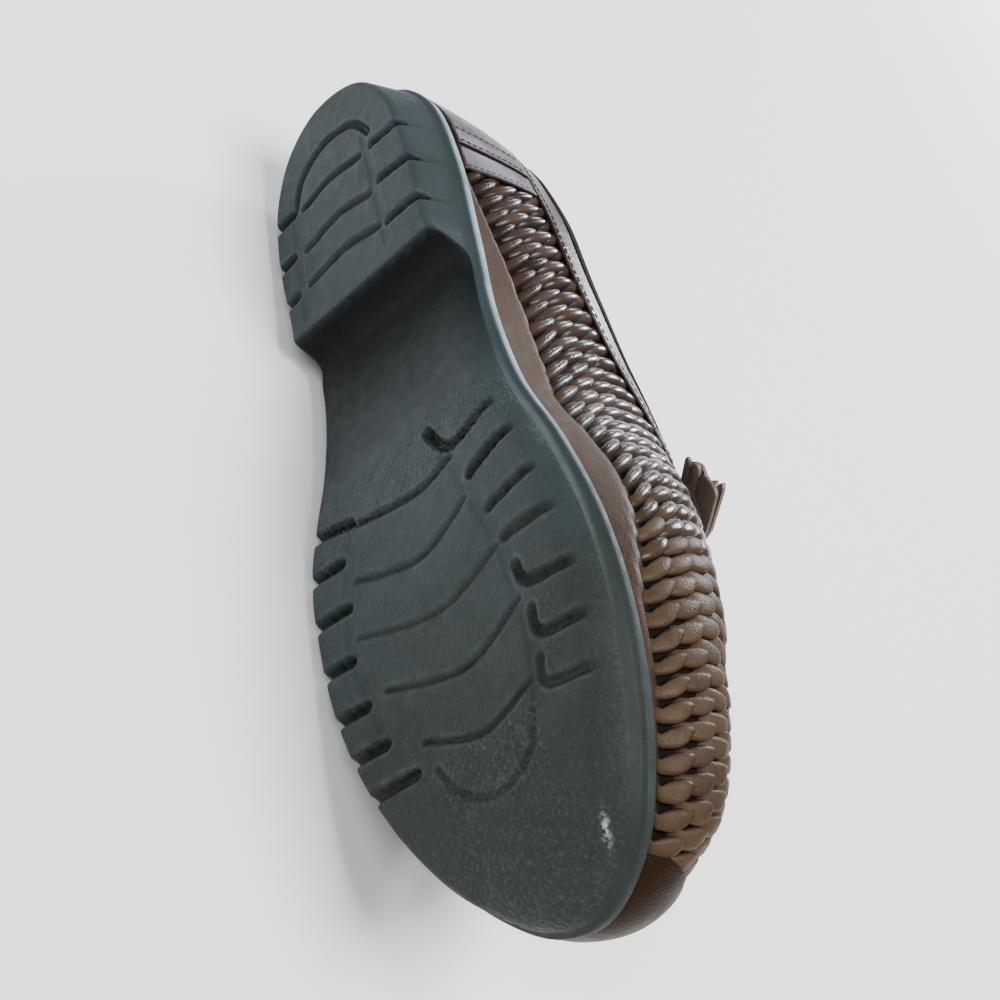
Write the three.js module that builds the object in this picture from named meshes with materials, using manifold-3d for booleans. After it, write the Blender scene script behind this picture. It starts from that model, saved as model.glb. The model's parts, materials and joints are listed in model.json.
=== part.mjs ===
// A man's woven leather slip-on shoe with a tassel, the left one of a pair, lying on its outer side.
// Millimetres. The pieces are worked out in the shoe's own frame: the heel's back is near x = 0 and the
// toe towards +x, the outer (little toe) side is +y, and the shoe stands on z = 0. The finished group is
// then laid on its side, +Z up, with the middle of its footprint at the origin.

import * as THREE from 'three';
import { mergeVertices } from 'three/addons/utils/BufferGeometryUtils.js';
import { ConvexHull } from 'three/addons/math/ConvexHull.js';
import Module from 'manifold-3d';

const wasm = await Module();
wasm.setup();

// Driving dimensions
const GAP = 0.3; // between neighbouring pieces
const WALL = 2.8; // leather and lining of the upper
const WEAVE_DEPTH = 1.7; // how far the gaps of the weave lie under its strips
const STRIP_PITCH = 7.2; // from one strip of the weave to the next
const WEAVE_ROWS = 12; // levels from the sole to the crest
const FEATHER = 2.2; // the upper meets the sole this far inside the rim
const RIM_HEIGHT = 4; // the lip along the top of the sole
const RIM_STEP = 1.4; // how far that lip stands out from the wall under it
const RIM_ROUND = 0.8; // bevel of the lip
const TREAD_INSET = 2; // the tread is this much smaller than the rim
const HEEL_SEAT = 12; // height where the heel block meets the sole
// Front face of the heel: its place, its slant in degrees, its forward lean and the height where that starts
const BREAST = { x: 89, skew: 6.4, lean: 6, foot: 3 };
const TREAD_ROUND = 1.6; // bevel where the wall of the sole turns into the tread
const DISH = { reach: 0.55, fall: 0.3 }; // how the underside dips between its middle and its edge
const HEEL_OVERLAP = 1.5; // the heel block runs this far up into the sole
const HEEL_END = { hub: 40, radius: 38 }; // the heel's round end is drawn about a hub at this x
const TOE_END = { hub: 244, radius: 52 }; // and the toe's about this one
const AXIS = 4; // y of a line that stays inside the outline from heel to toe
const RIM_STEPS = 360; // straight steps that stand for the rim's curve
const INSOLE = { thickness: 3, bevel: 0.6 };
const COUNTER = { thickness: 1.2, front: [[60, 0], [56, 34], [51, 90]] };
const COLLAR = { thickness: 1.2, height: 12 };
const OPENING = { steps: 18, throat: [105, 150], shift: 0.35, below: 8 };
const TOE_CAP = { thickness: 1.1, from: 287, lean: 26 };
const APRON = { thickness: 1.3, from: 134, to: 262, half: 27, round: 34, sway: 3, low: 40 };
const STRAP = { thickness: 1.8, from: 155, to: 171, foot: 87, lean: 6 };
const TASSEL = { length: 29, width: 19, thickness: 3.2, strips: 4, slit: 0.9, knot: 4.6 };
const FRINGE = { ragged: 0.05, root: 0.38, neck: 0.33 }; // shares of the tassel's length and width
const KNOT = { half: 1.2, sides: 14 }; // half the length in radii
const BALANCE = { x: 148, y: 4, z: 30 }; // the shoe's centre of mass
const OUTER_SIDE = 0.6; // a face turned this much to +y belongs to the outer side
const BEYOND = { back: -40, front: 330, side: 90, top: 220 }; // cutting forms reach past the shoe to here

// Rim of the sole seen from above, once round from the back of the heel along the inner side
const OUTLINE = [
  { x: -2, y: 3 }, { x: 5, y: -19 }, { x: 24, y: -31 }, { x: 55, y: -34.5 }, { x: 90, y: -32.5 },
  { x: 120, y: -30.5 }, { x: 150, y: -33.5 }, { x: 180, y: -42 }, { x: 210, y: -46.5 }, { x: 240, y: -45 },
  { x: 268, y: -37 }, { x: 288, y: -24.5 }, { x: 300, y: -5 }, { x: 297.5, y: 11 }, { x: 285, y: 26.5 },
  { x: 265, y: 40 }, { x: 240, y: 50.5 }, { x: 212, y: 57 }, { x: 180, y: 57 }, { x: 150, y: 52 },
  { x: 115, y: 45 }, { x: 80, y: 42.5 }, { x: 50, y: 41.5 }, { x: 24, y: 36 }, { x: 5, y: 22 },
];

// Heights along the shoe: sole's underside at the middle, rim, crest of the closed last and lower smooth band
const PROFILE = [
  { x: 0, under: 12, rim: 21, crest: 104, band: 40 },
  { x: 60, under: 12, rim: 20, crest: 104, band: 40 },
  { x: 95, under: 11.5, rim: 19.5, crest: 104, band: 12 },
  { x: 130, under: 8, rim: 18, crest: 108, band: 14 },
  { x: 150, under: 3.6, rim: 16.4, crest: 106, band: 13 },
  { x: 166, under: 0.8, rim: 15, crest: 100.5, band: 9 },
  { x: 182, under: 0, rim: 14, crest: 93, band: 6 },
  { x: 205, under: 0, rim: 13.5, crest: 82.5, band: 3.5 },
  { x: 230, under: 0, rim: 13.8, crest: 72.5, band: 3 },
  { x: 250, under: 0.8, rim: 14.6, crest: 63, band: 3 },
  { x: 275, under: 3.8, rim: 17, crest: 58, band: 3 },
  { x: 302, under: 9.5, rim: 21, crest: 56, band: 3 },
];

// Form of a section of the last. Fullness under 1 squares its shoulders, bulge carries the side out over the
// sole and rise under 1 lifts the crest's flanks. The end rows are added on towards the heel and the toe.
const SECTION = {
  waist: { fullness: 0.68, bulge: 0.18, rise: 0.9 },
  ball: { fullness: 0.62, bulge: 0.19, rise: 1 },
  heel: { fullness: 0.44, bulge: -0.13, rise: 0 },
  toe: { fullness: 0.18, bulge: 0.02, rise: 0.2 },
  tip: { fullness: 0, bulge: -0.14, rise: 0 },
};
const REACHES = { waistToBall: [100, 205], heel: [5, 70], toe: [244, 300], tip: [278, 300] };

// Where the weave stops short of the panels round it
const WEAVE_EDGE = { apron: 6, collar: 3, counter: 61, toeCap: 4, crest: 0.8 };

// Top edge of the opening, seen from the side
const TOPLINE = [
  { x: -14, z: 73 }, { x: 12, z: 70 }, { x: 45, z: 66 }, { x: 78, z: 69.5 }, { x: 106, z: 79 },
  { x: 130, z: 91 }, { x: 146, z: 101 }, { x: 151, z: 118 },
];

// Grooves of the tread, each from its inner to its outer end, some by way of points between
const HEEL_GROOVES = [
  { inner: [41, -16], outer: [44, -40] }, { inner: [57, -15], outer: [61, -40] },
  { inner: [75, -14], outer: [78, -40] }, { inner: [36, 25], outer: [35, 46] },
  { inner: [53, 29], outer: [53, 48] }, { inner: [69, 31], outer: [69, 48] },
  { inner: [41, -10], via: [[37, 5]], outer: [38, 19] },
  { inner: [59, -10], via: [[54, 5]], outer: [55, 22] },
  { inner: [74, -10], via: [[69, 6]], outer: [69, 24] },
  { inner: [35, -16], via: [[25, -10], [21, 4], [26, 17]], outer: [36, 23] },
];
const INNER_GROOVES = [
  { inner: [153, -4], via: [[165, -14]], outer: [156, -40] }, { inner: [178, -17], outer: [170, -48] },
  { inner: [192, -20], outer: [188, -52] }, { inner: [203, -22], outer: [205, -54] },
  { inner: [213, -23], via: [[220, -27]], outer: [223, -54] },
  { inner: [227, -24], via: [[235, -26]], outer: [238, -53] },
  { inner: [240, -22], via: [[248, -23]], outer: [252, -51] },
];
const MIDDLE_GROOVES = [
  { inner: [168, -11], via: [[170, 4]], outer: [163, 30] },
  { inner: [184, -13], via: [[190, 8]], outer: [181, 34] },
  { inner: [204, -19], via: [[209, 6]], outer: [198, 38] },
  { inner: [222, -21], via: [[229, 2]], outer: [219, 31] },
  { inner: [244, -17], via: [[248, 2]], outer: [240, 22] },
  { inner: [251, -15], via: [[260, -10], [264, 3], [259, 14]], outer: [249, 20] },
];
const OUTER_GROOVES = [
  { inner: [161, 32], outer: [151, 60] }, { inner: [172, 38], outer: [167, 64] },
  { inner: [187, 39], outer: [183, 64] }, { inner: [203, 42], outer: [199, 66] },
  { inner: [219, 40], outer: [215, 64] }, { inner: [233, 36], outer: [229, 60] },
  { inner: [246, 28], outer: [243, 56] },
];
const GROOVE = { wide: 3.8, narrow: 2.6, depth: 3.2, below: 6, steps: 6 };

const rubber = new THREE.MeshStandardMaterial({ color: 0x2c3236, roughness: 0.75, metalness: 0 });
const woven = new THREE.MeshStandardMaterial({ color: 0x5b3a2c, roughness: 0.42, metalness: 0 });
const smooth = new THREE.MeshStandardMaterial({ color: 0x4a2822, roughness: 0.36, metalness: 0 });
const lining = new THREE.MeshStandardMaterial({ color: 0xa98861, roughness: 0.7, metalness: 0 });

// Value of one column of a table at x, smooth between its rows
function along(table, column, x) {
  const last = table.length - 1;
  if (x <= table[0].x) return table[0][column];
  if (x >= table[last].x) return table[last][column];
  const row = table.findIndex((entry) => entry.x > x) - 1;
  const span = table[row + 1].x - table[row].x;
  const share = (x - table[row].x) / span;
  const slope = (index) => {
    if (index === 0 || index === last) return 0;
    const before = (table[index][column] - table[index - 1][column]) / (table[index].x - table[index - 1].x);
    const after = (table[index + 1][column] - table[index][column]) / (table[index + 1].x - table[index].x);
    return before * after > 0 ? (2 * before * after) / (before + after) : 0;
  };
  const square = share * share;
  const cube = square * share;
  return (
    (2 * cube - 3 * square + 1) * table[row][column] +
    (cube - 2 * square + share) * span * slope(row) +
    (3 * square - 2 * cube) * table[row + 1][column] +
    (cube - square) * span * slope(row + 1)
  );
}

// Solids

function solidOf(geometry) {
  geometry.deleteAttribute('normal');
  geometry.deleteAttribute('uv');
  const merged = mergeVertices(geometry, 1e-4);
  const triVerts = Uint32Array.from(merged.index.array);
  const vertProperties = Float32Array.from(merged.attributes.position.array);
  return new wasm.Manifold(new wasm.Mesh({ numProp: 3, vertProperties, triVerts }));
}

function geometryOf(solid) {
  const mesh = solid.getMesh();
  const geometry = new THREE.BufferGeometry();
  geometry.setAttribute('position', new THREE.BufferAttribute(Float32Array.from(mesh.vertProperties), 3));
  geometry.setIndex(new THREE.BufferAttribute(Uint32Array.from(mesh.triVerts), 1));
  return geometry;
}

// A flat outline pushed up from z = bottom to z = top
function upright(points, bottom, top) {
  const shape = new THREE.Shape(points.map(([x, y]) => new THREE.Vector2(x, y)));
  const geometry = new THREE.ExtrudeGeometry(shape, { depth: top - bottom, bevelEnabled: false });
  return geometry.translate(0, 0, bottom);
}

// A side-view outline of [x, z] points, pushed across the whole width of the shoe
function across(points) {
  const shape = new THREE.Shape(points.map(([x, z]) => new THREE.Vector2(x, z)));
  const geometry = new THREE.ExtrudeGeometry(shape, { depth: 2 * BEYOND.side, bevelEnabled: false });
  return geometry.rotateX(Math.PI / 2).translate(0, BEYOND.side, 0);
}

// Columns: where upright lines stand round the shoe, each with a hub on the middle line that it leans to

const rimCurve = new THREE.CatmullRomCurve3(
  OUTLINE.map(({ x, y }) => new THREE.Vector3(x, y, 0)), true, 'centripetal',
);
const rimPoints = rimCurve.getPoints(RIM_STEPS);

// Distance from a hub to the rim along a direction
function reachOf(hub, heading) {
  let reach = 0;
  for (let i = 0; i + 1 < rimPoints.length; i += 1) {
    const from = rimPoints[i];
    const edgeX = rimPoints[i + 1].x - from.x;
    const edgeY = rimPoints[i + 1].y - from.y;
    const cross = heading.x * edgeY - heading.y * edgeX;
    if (Math.abs(cross) < 1e-9) continue;
    const distance = ((from.x - hub.x) * edgeY - (from.y - hub.y) * edgeX) / cross;
    const share = ((from.x - hub.x) * heading.y - (from.y - hub.y) * heading.x) / cross;
    if (share >= 0 && share <= 1 && distance > reach) reach = distance;
  }
  return reach;
}

function middleAt(x) {
  const [inner, outer] = [-1, 1].map((side) => reachOf({ x, y: AXIS }, { x: 0, y: side }));
  return AXIS + (outer - inner) / 2;
}

function column(x, heading, station) {
  const hub = { x, y: middleAt(x) };
  const reach = reachOf(hub, heading);
  const entry = { hub, heading, reach, station, rimX: hub.x + heading.x * reach };
  const figures = ['fullness', 'bulge', 'rise'].map((figure) => [figure, sectionAt(figure, entry)]);
  return { ...entry, section: Object.fromEntries(figures) };
}

function columnsRound() {
  const length = TOE_END.hub - HEEL_END.hub;
  const stations = Math.round(length / STRIP_PITCH);
  const xs = Array.from({ length: stations + 1 }, (_, i) => HEEL_END.hub + (length * i) / stations);
  const fan = ({ hub, radius }, from, station) => {
    const count = 2 * Math.round((Math.PI * radius) / STRIP_PITCH / 2);
    return Array.from({ length: count - 1 }, (_, i) => {
      const angle = from + (Math.PI * (i + 1)) / count;
      return column(hub, { x: Math.cos(angle), y: Math.sin(angle) }, station);
    });
  };
  return [
    ...xs.map((x, i) => column(x, { x: 0, y: -1 }, i)),
    ...fan(TOE_END, -Math.PI / 2, stations),
    ...xs.map((x, i) => column(x, { x: 0, y: 1 }, i)).reverse(),
    ...fan(HEEL_END, Math.PI / 2, 0),
  ];
}

const columns = columnsRound();

// A closed form: each column is a line of points from the middle of the underside, round the edge, to the
// crest. The first and last point of a line are shared by the columns with the same station.
function lofted(lineOf) {
  const positions = [];
  const shared = new Map();
  const put = (point) => positions.push(point.x, point.y, point.z) / 3 - 1;
  const putShared = (key, point) => {
    if (!shared.has(key)) shared.set(key, put(point));
    return shared.get(key);
  };
  const rows = columns.map((entry, index) => {
    const line = lineOf(entry, index);
    const last = line.length - 1;
    return line.map((point, level) => {
      if (level === 0) return putShared(`under${entry.station}`, point);
      if (level === last) return putShared(`crest${entry.station}`, point);
      return put(point);
    });
  });
  const triangles = [];
  const face = (a, b, c) => {
    if (a !== b && b !== c && c !== a) triangles.push(a, b, c);
  };
  rows.forEach((row, i) => {
    const next = rows[(i + 1) % rows.length];
    for (let level = 0; level + 1 < row.length; level += 1) {
      face(row[level], next[level], next[level + 1]);
      face(row[level], next[level + 1], row[level + 1]);
    }
  });
  const geometry = new THREE.BufferGeometry();
  geometry.setAttribute('position', new THREE.BufferAttribute(Float32Array.from(positions), 3));
  geometry.setIndex(triangles);
  return solidOf(geometry);
}

function onColumn({ hub, heading }, distance, z) {
  return new THREE.Vector3(hub.x + heading.x * distance, hub.y + heading.y * distance, z);
}

// Upper

// One figure of the last's section at a column, blended along the shoe
function sectionAt(figure, entry) {
  const { waist, ball, heel, toe, tip } = SECTION;
  const share = (x, reach) => THREE.MathUtils.smoothstep(x, ...REACHES[reach]);
  return (
    THREE.MathUtils.lerp(waist[figure], ball[figure], share(entry.hub.x, 'waistToBall')) +
    heel[figure] * (1 - share(entry.rimX, 'heel')) +
    toe[figure] * share(entry.rimX, 'toe') +
    tip[figure] * share(entry.rimX, 'tip')
  );
}

// The smooth last: share 0 is the feather edge on the sole, 1 the crest over the middle line
function lastPoint(entry, share) {
  const angle = (share * Math.PI) / 2;
  const { fullness, bulge, rise } = entry.section;
  const foot = along(PROFILE, 'rim', entry.rimX) + GAP;
  const crest = along(PROFILE, 'crest', entry.hub.x);
  const spread = Math.cos(angle) ** fullness * (1 + bulge * Math.sin(2 * angle));
  return onColumn(entry, (entry.reach - FEATHER) * spread, foot + (crest - foot) * Math.sin(angle) ** rise);
}

// Outward direction of the last at a point of a column
function lastNormal(entry, share) {
  const step = 0.01;
  const low = lastPoint(entry, Math.max(0, share - step));
  const high = lastPoint(entry, Math.min(1, share + step));
  const rise = high.sub(low);
  const outward = new THREE.Vector3(entry.heading.x, entry.heading.y, 0);
  const tangent = new THREE.Vector3(-entry.heading.y, entry.heading.x, 0);
  const normal = tangent.cross(rise).normalize();
  return normal.dot(outward) < -1e-6 || normal.z < -0.9 ? normal.negate() : normal;
}

function isWoven(entry, share) {
  const point = lastPoint(entry, share);
  const foot = along(PROFILE, 'rim', entry.rimX);
  const overBand = point.z - foot > along(PROFILE, 'band', entry.rimX);
  const besideApron = Math.abs(point.y - entry.hub.y) > APRON.half - WEAVE_EDGE.apron;
  const underCollar = point.z < along(TOPLINE, 'z', point.x) - COLLAR.height - WEAVE_EDGE.collar;
  const between = point.x > WEAVE_EDGE.counter && point.x < TOE_CAP.from - WEAVE_EDGE.toeCap;
  const onSide = (besideApron || entry.rimX > TOE_END.hub) && share < WEAVE_EDGE.crest;
  return overBand && onSide && underCollar && between;
}

// A closed form this far outside the last. A deep floor runs on down through the sole's top.
function lastForm(offset, { floor = 0, weave = false } = {}) {
  return lofted((entry, index) => {
    const line = [];
    for (let row = 0; row <= WEAVE_ROWS; row += 1) {
      const share = row / WEAVE_ROWS;
      const sunk = weave && isWoven(entry, share) && (index + row) % 2 === 1 ? WEAVE_DEPTH : 0;
      const shift = lastNormal(entry, share).multiplyScalar(offset - sunk);
      if (row === 0) shift.z = 0;
      if (row === WEAVE_ROWS) shift.set(0, 0, offset);
      line.push(lastPoint(entry, share).add(shift));
    }
    const foot = line[0];
    const under = along(PROFILE, 'rim', entry.hub.x) + GAP - floor;
    const start = [onColumn(entry, 0, under)];
    if (floor > 0) start.push(foot.clone().setZ(foot.z - floor));
    return [...start, ...line];
  });
}

const toplineCurve = new THREE.SplineCurve(TOPLINE.map(({ x, z }) => new THREE.Vector2(x, z)));
const toplinePoints = toplineCurve.getPoints(OPENING.steps).map(({ x, y }) => [x, y]);

// Everything above the top edge of the opening, or above a line this far under it, moved on at the throat
function overTopline(drop = 0) {
  const { throat, shift } = OPENING;
  const edge = toplinePoints.map(([x, z]) => {
    return [x + drop * shift * THREE.MathUtils.smoothstep(x, ...throat), z - drop];
  });
  const { back, top } = BEYOND;
  return solidOf(across([...edge, [edge.at(-1)[0], top], [back, top], [back, edge[0][1]]]));
}

const opening = overTopline();
const underCollar = overTopline(COLLAR.height + GAP);

// A skin of leather over the last, between two of its forms
function skin(lift, thickness) {
  return lastForm(lift + thickness).subtract(lastForm(lift)).subtract(opening);
}

function upper() {
  return lastForm(0, { weave: true }).subtract(lastForm(-WALL, { floor: OPENING.below })).subtract(opening);
}

function heelCounter() {
  const [foot, ...rest] = COUNTER.front;
  const behind = across([[BEYOND.back, foot[1]], foot, ...rest, [BEYOND.back, rest.at(-1)[1]]]);
  return skin(GAP, COUNTER.thickness).intersect(solidOf(behind)).subtract(underCollar);
}

function collar() {
  return skin(GAP, COLLAR.thickness).intersect(overTopline(COLLAR.height));
}

function toeCap() {
  const { thickness, from, lean } = TOE_CAP;
  const { front, top } = BEYOND;
  const ahead = across([[from, 0], [front, 0], [front, top], [from + lean, top]]);
  return skin(GAP, thickness).intersect(solidOf(ahead));
}

// The plain panel on top of the vamp, round towards the toe
function apron() {
  const { thickness, from, to, half, round, sway, low } = APRON;
  const middle = middleAt((from + to) / 2);
  const shape = new THREE.Shape().moveTo(from, middle - half).lineTo(to - round, middle - sway - half);
  shape.absellipse(to - round, middle - sway, round, half, -Math.PI / 2, Math.PI / 2);
  shape.lineTo(from, middle + half);
  const panel = upright(shape.getPoints(8).map(({ x, y }) => [x, y]), low, BEYOND.top);
  return skin(GAP, thickness).intersect(solidOf(panel)).subtract(underCollar);
}

function strap() {
  const lift = GAP + APRON.thickness + GAP;
  const { from, to, foot, lean } = STRAP;
  const side = [[from, BEYOND.top], [from + lean, foot], [to + lean, foot], [to, BEYOND.top]];
  return skin(lift, STRAP.thickness).intersect(solidOf(across(side)));
}

// Sole

function soleSlab() {
  return lofted((entry) => {
    const rim = along(PROFILE, 'rim', entry.rimX);
    const under = along(PROFILE, 'under', entry.rimX);
    const middle = along(PROFILE, 'under', entry.hub.x);
    const edge = entry.reach - TREAD_INSET;
    return [
      onColumn(entry, 0, middle),
      onColumn(entry, edge * DISH.reach, THREE.MathUtils.lerp(middle, under, DISH.fall)),
      onColumn(entry, edge - TREAD_ROUND, under),
      onColumn(entry, edge, under + TREAD_ROUND),
      onColumn(entry, entry.reach - RIM_STEP, rim - RIM_HEIGHT - RIM_ROUND),
      onColumn(entry, entry.reach, rim - RIM_HEIGHT + RIM_ROUND),
      onColumn(entry, entry.reach, rim - RIM_ROUND),
      onColumn(entry, entry.reach - RIM_ROUND, rim),
      onColumn(entry, 0, along(PROFILE, 'rim', entry.hub.x)),
    ];
  });
}

function heelBlock() {
  const block = lofted((entry) => [
    onColumn(entry, 0, 0),
    onColumn(entry, entry.reach - TREAD_INSET - TREAD_ROUND, 0),
    onColumn(entry, entry.reach - TREAD_INSET, TREAD_ROUND),
    onColumn(entry, entry.reach - RIM_STEP, HEEL_SEAT + HEEL_OVERLAP),
    onColumn(entry, 0, HEEL_SEAT + HEEL_OVERLAP),
  ]);
  const { x, skew, lean, foot } = BREAST;
  const length = x - BEYOND.back;
  const face = [[0, -foot], [0, foot], [lean, HEEL_SEAT], [lean, BEYOND.side]];
  const side = [[-length, -foot], ...face, [-length, BEYOND.side]];
  const behind = across(side).rotateZ(THREE.MathUtils.degToRad(skew)).translate(x, 0, 0);
  return block.intersect(solidOf(behind));
}

// One groove of the tread: a ribbon along its line, pushed up into the rubber
function grooveTool({ inner, via = [], outer }, width, depth) {
  const stops = [inner, ...via, outer].map(([x, y]) => new THREE.Vector2(x, y));
  const steps = via.length === 0 ? 1 : GROOVE.steps * Math.min(2, via.length);
  const line = new THREE.SplineCurve(stops).getPoints(steps);
  const sides = line.map((point, i) => {
    const before = line[Math.max(0, i - 1)];
    const after = line[Math.min(line.length - 1, i + 1)];
    const heading = after.clone().sub(before).normalize();
    return { point, normal: new THREE.Vector2(-heading.y, heading.x).multiplyScalar(width / 2) };
  });
  const left = sides.map(({ point, normal }) => [point.x + normal.x, point.y + normal.y]);
  const right = sides.map(({ point, normal }) => [point.x - normal.x, point.y - normal.y]).reverse();
  return solidOf(upright([...left, ...right], -GROOVE.below, depth));
}

function outsole() {
  const tools = [
    ...HEEL_GROOVES.map((groove) => grooveTool(groove, GROOVE.wide, GROOVE.depth)),
    ...INNER_GROOVES.map((groove) => grooveTool(groove, GROOVE.wide, GROOVE.depth)),
    ...MIDDLE_GROOVES.map((groove) => grooveTool(groove, GROOVE.narrow, GROOVE.depth)),
    ...OUTER_GROOVES.map((groove) => grooveTool(groove, GROOVE.wide, GROOVE.depth)),
  ];
  return tools.reduce((sole, tool) => sole.subtract(tool), soleSlab().add(heelBlock()));
}

function insole() {
  const inset = FEATHER + WALL + 2 * GAP;
  return lofted((entry) => {
    const bottom = along(PROFILE, 'rim', entry.rimX) + GAP;
    const middle = along(PROFILE, 'rim', entry.hub.x) + GAP;
    const edge = entry.reach - inset;
    return [
      onColumn(entry, 0, middle),
      onColumn(entry, edge, bottom),
      onColumn(entry, edge - INSOLE.bevel, bottom + INSOLE.thickness),
      onColumn(entry, 0, middle + INSOLE.thickness),
    ];
  });
}

// Tassel

// A flat fringe: a plate cut into strips at its free end, lying along +x from its knot
function fringe() {
  const { length, width, strips, slit, thickness } = TASSEL;
  const { ragged, root, neck } = FRINGE;
  const pitch = width / strips;
  const points = [[0, -width * neck], [length * root, -width / 2]];
  for (let i = 0; i < strips; i += 1) {
    const low = -width / 2 + i * pitch;
    const high = low + pitch;
    const tip = length * (1 - ragged * ((i * 2) % 3));
    points.push([tip, low + slit / 2], [tip, high - slit / 2]);
    if (i + 1 < strips) points.push([length * root, high - slit / 4], [length * root, high + slit / 4]);
  }
  points.push([length * root, width / 2], [0, width * neck]);
  return upright(points, -thickness / 2, thickness / 2);
}

function knot() {
  const profile = [[0, -1], [0.7, -0.96], [1, -0.5], [0.86, 0], [1, 0.5], [0.7, 0.96], [0, 1]];
  const half = TASSEL.knot * KNOT.half;
  const turned = profile.map(([radius, height]) => new THREE.Vector2(radius * TASSEL.knot, height * half));
  return new THREE.LatheGeometry(turned, KNOT.sides).rotateZ(-Math.PI / 2);
}

function named(name, geometry, material) {
  const mesh = new THREE.Mesh(geometry, material);
  mesh.name = name;
  return mesh;
}

const shoe = new THREE.Group();
shoe.add(
  named('outsole', geometryOf(outsole()), rubber),
  named('insole', geometryOf(insole()), lining),
  named('upper', geometryOf(upper()), woven),
  named('heel_counter', geometryOf(heelCounter()), smooth),
  named('collar', geometryOf(collar()), smooth),
  named('toe_cap', geometryOf(toeCap()), smooth),
  named('apron', geometryOf(apron()), smooth),
  named('strap', geometryOf(strap()), smooth),
);

// Each tassel hangs from the strap: its knot sits over the strap's middle and the fringe runs off to a side
const TASSELS = [
  { name: 'inner', at: { x: 166, y: -6 }, turn: -106, dip: 30, lift: 9.4 },
  { name: 'outer', at: { x: 164, y: 13 }, turn: 28, dip: 22, lift: 9 },
];
TASSELS.forEach(({ name, at, turn, dip, lift }) => {
  const place = new THREE.Group();
  place.position.set(at.x, at.y, along(PROFILE, 'crest', at.x) + lift);
  place.rotation.set(0, THREE.MathUtils.degToRad(dip), THREE.MathUtils.degToRad(turn), 'ZYX');
  const hanging = named(`tassel_${name}`, fringe(), smooth);
  hanging.position.x = TASSEL.knot * KNOT.half + GAP;
  place.add(named(`knot_${name}`, knot(), smooth), hanging);
  shoe.add(place);
});

// Lying down: the face of the convex hull that is turned to the outer side and lies under the middle

function allPoints(group) {
  group.updateMatrixWorld(true);
  const points = [];
  group.traverse((object) => {
    if (!object.isMesh) return;
    const place = object.geometry.attributes.position;
    for (let i = 0; i < place.count; i += 1) {
      points.push(new THREE.Vector3().fromBufferAttribute(place, i).applyMatrix4(object.matrixWorld));
    }
  });
  return points;
}

function restingNormal(points, balance) {
  const hull = new ConvexHull().setFromPoints(points);
  const under = hull.faces.find((face) => {
    if (face.normal.y < OUTER_SIDE) return false;
    const corners = [0, 1, 2].map((i) => face.getEdge(i).head().point);
    const height = balance.clone().sub(corners[0]).dot(face.normal);
    const shadow = balance.clone().addScaledVector(face.normal, -height);
    return new THREE.Triangle(...corners).containsPoint(shadow);
  });
  return under.normal;
}

const down = restingNormal(allPoints(shoe), new THREE.Vector3(BALANCE.x, BALANCE.y, BALANCE.z));
const laid = new THREE.Group();
shoe.quaternion.setFromUnitVectors(down, new THREE.Vector3(0, 0, -1));
const ahead = new THREE.Vector3(1, 0, 0).applyQuaternion(shoe.quaternion);
laid.rotation.z = -Math.atan2(ahead.y, ahead.x);
laid.add(shoe);

const part = new THREE.Group();
part.add(laid);
const box = new THREE.Box3().setFromPoints(allPoints(part));
const middle = box.getCenter(new THREE.Vector3());
laid.position.set(-middle.x, -middle.y, -box.min.z);

export default part;
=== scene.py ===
"""Looks of a man's woven leather slip-on shoe, the left one of a pair, lying on its outer side.

Shapes are worked out in the shoe's own frame, in millimetres: the heel's back is near x = 0 and the toe
towards +x, the outer side is +y and the tread lies on z = 0. Placement lays them in the row frame, in
metres.
"""

from __future__ import annotations

import json
import logging
import math
from dataclasses import dataclass, field
from enum import Enum
from typing import NamedTuple, Sequence

import bpy
import numpy as np
from mathutils import Matrix, Vector

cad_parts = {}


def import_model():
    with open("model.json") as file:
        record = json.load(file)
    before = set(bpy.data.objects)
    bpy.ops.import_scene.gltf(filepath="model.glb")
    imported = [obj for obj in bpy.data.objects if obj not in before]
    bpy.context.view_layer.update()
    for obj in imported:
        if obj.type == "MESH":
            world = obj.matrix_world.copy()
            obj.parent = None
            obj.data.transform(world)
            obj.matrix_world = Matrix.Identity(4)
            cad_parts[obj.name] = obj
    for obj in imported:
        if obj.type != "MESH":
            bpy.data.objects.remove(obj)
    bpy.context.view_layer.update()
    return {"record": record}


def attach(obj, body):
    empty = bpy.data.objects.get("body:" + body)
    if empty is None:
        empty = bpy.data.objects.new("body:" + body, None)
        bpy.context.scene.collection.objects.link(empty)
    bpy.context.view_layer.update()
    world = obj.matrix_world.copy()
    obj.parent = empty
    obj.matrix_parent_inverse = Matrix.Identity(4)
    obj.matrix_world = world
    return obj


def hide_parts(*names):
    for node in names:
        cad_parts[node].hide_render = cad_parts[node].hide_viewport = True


LOG = logging.getLogger("shoe")
BODY = "root"
MM = 0.001
SEED = 7
RIM_STEPS = 360
MERGE_DISTANCE = 2e-6
FAR = 1e3
Array = np.ndarray
Colour = tuple[float, float, float]
Faces = list[list[int]]
Table = tuple[tuple[float, float], ...]


class Slot(Enum):
    """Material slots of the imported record."""

    RUBBER = "rubber"
    WOVEN = "woven"
    SMOOTH = "smooth"
    LINING = "lining"


class Station(NamedTuple):
    """Heights at one place along the shoe: underside, rim and crest of the closed last."""

    x: float
    under: float
    rim: float
    crest: float


class Section(NamedTuple):
    """Form of a section of the last: squareness of its shoulders, bulge over the sole, rise of its side."""

    fullness: float
    bulge: float
    rise: float


class Groove(NamedTuple):
    """A groove of the tread: points from its inner to its outer end, width, depth and slope beside it."""

    points: Table
    width: float
    depth: float
    ramp: float = 0.0


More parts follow.
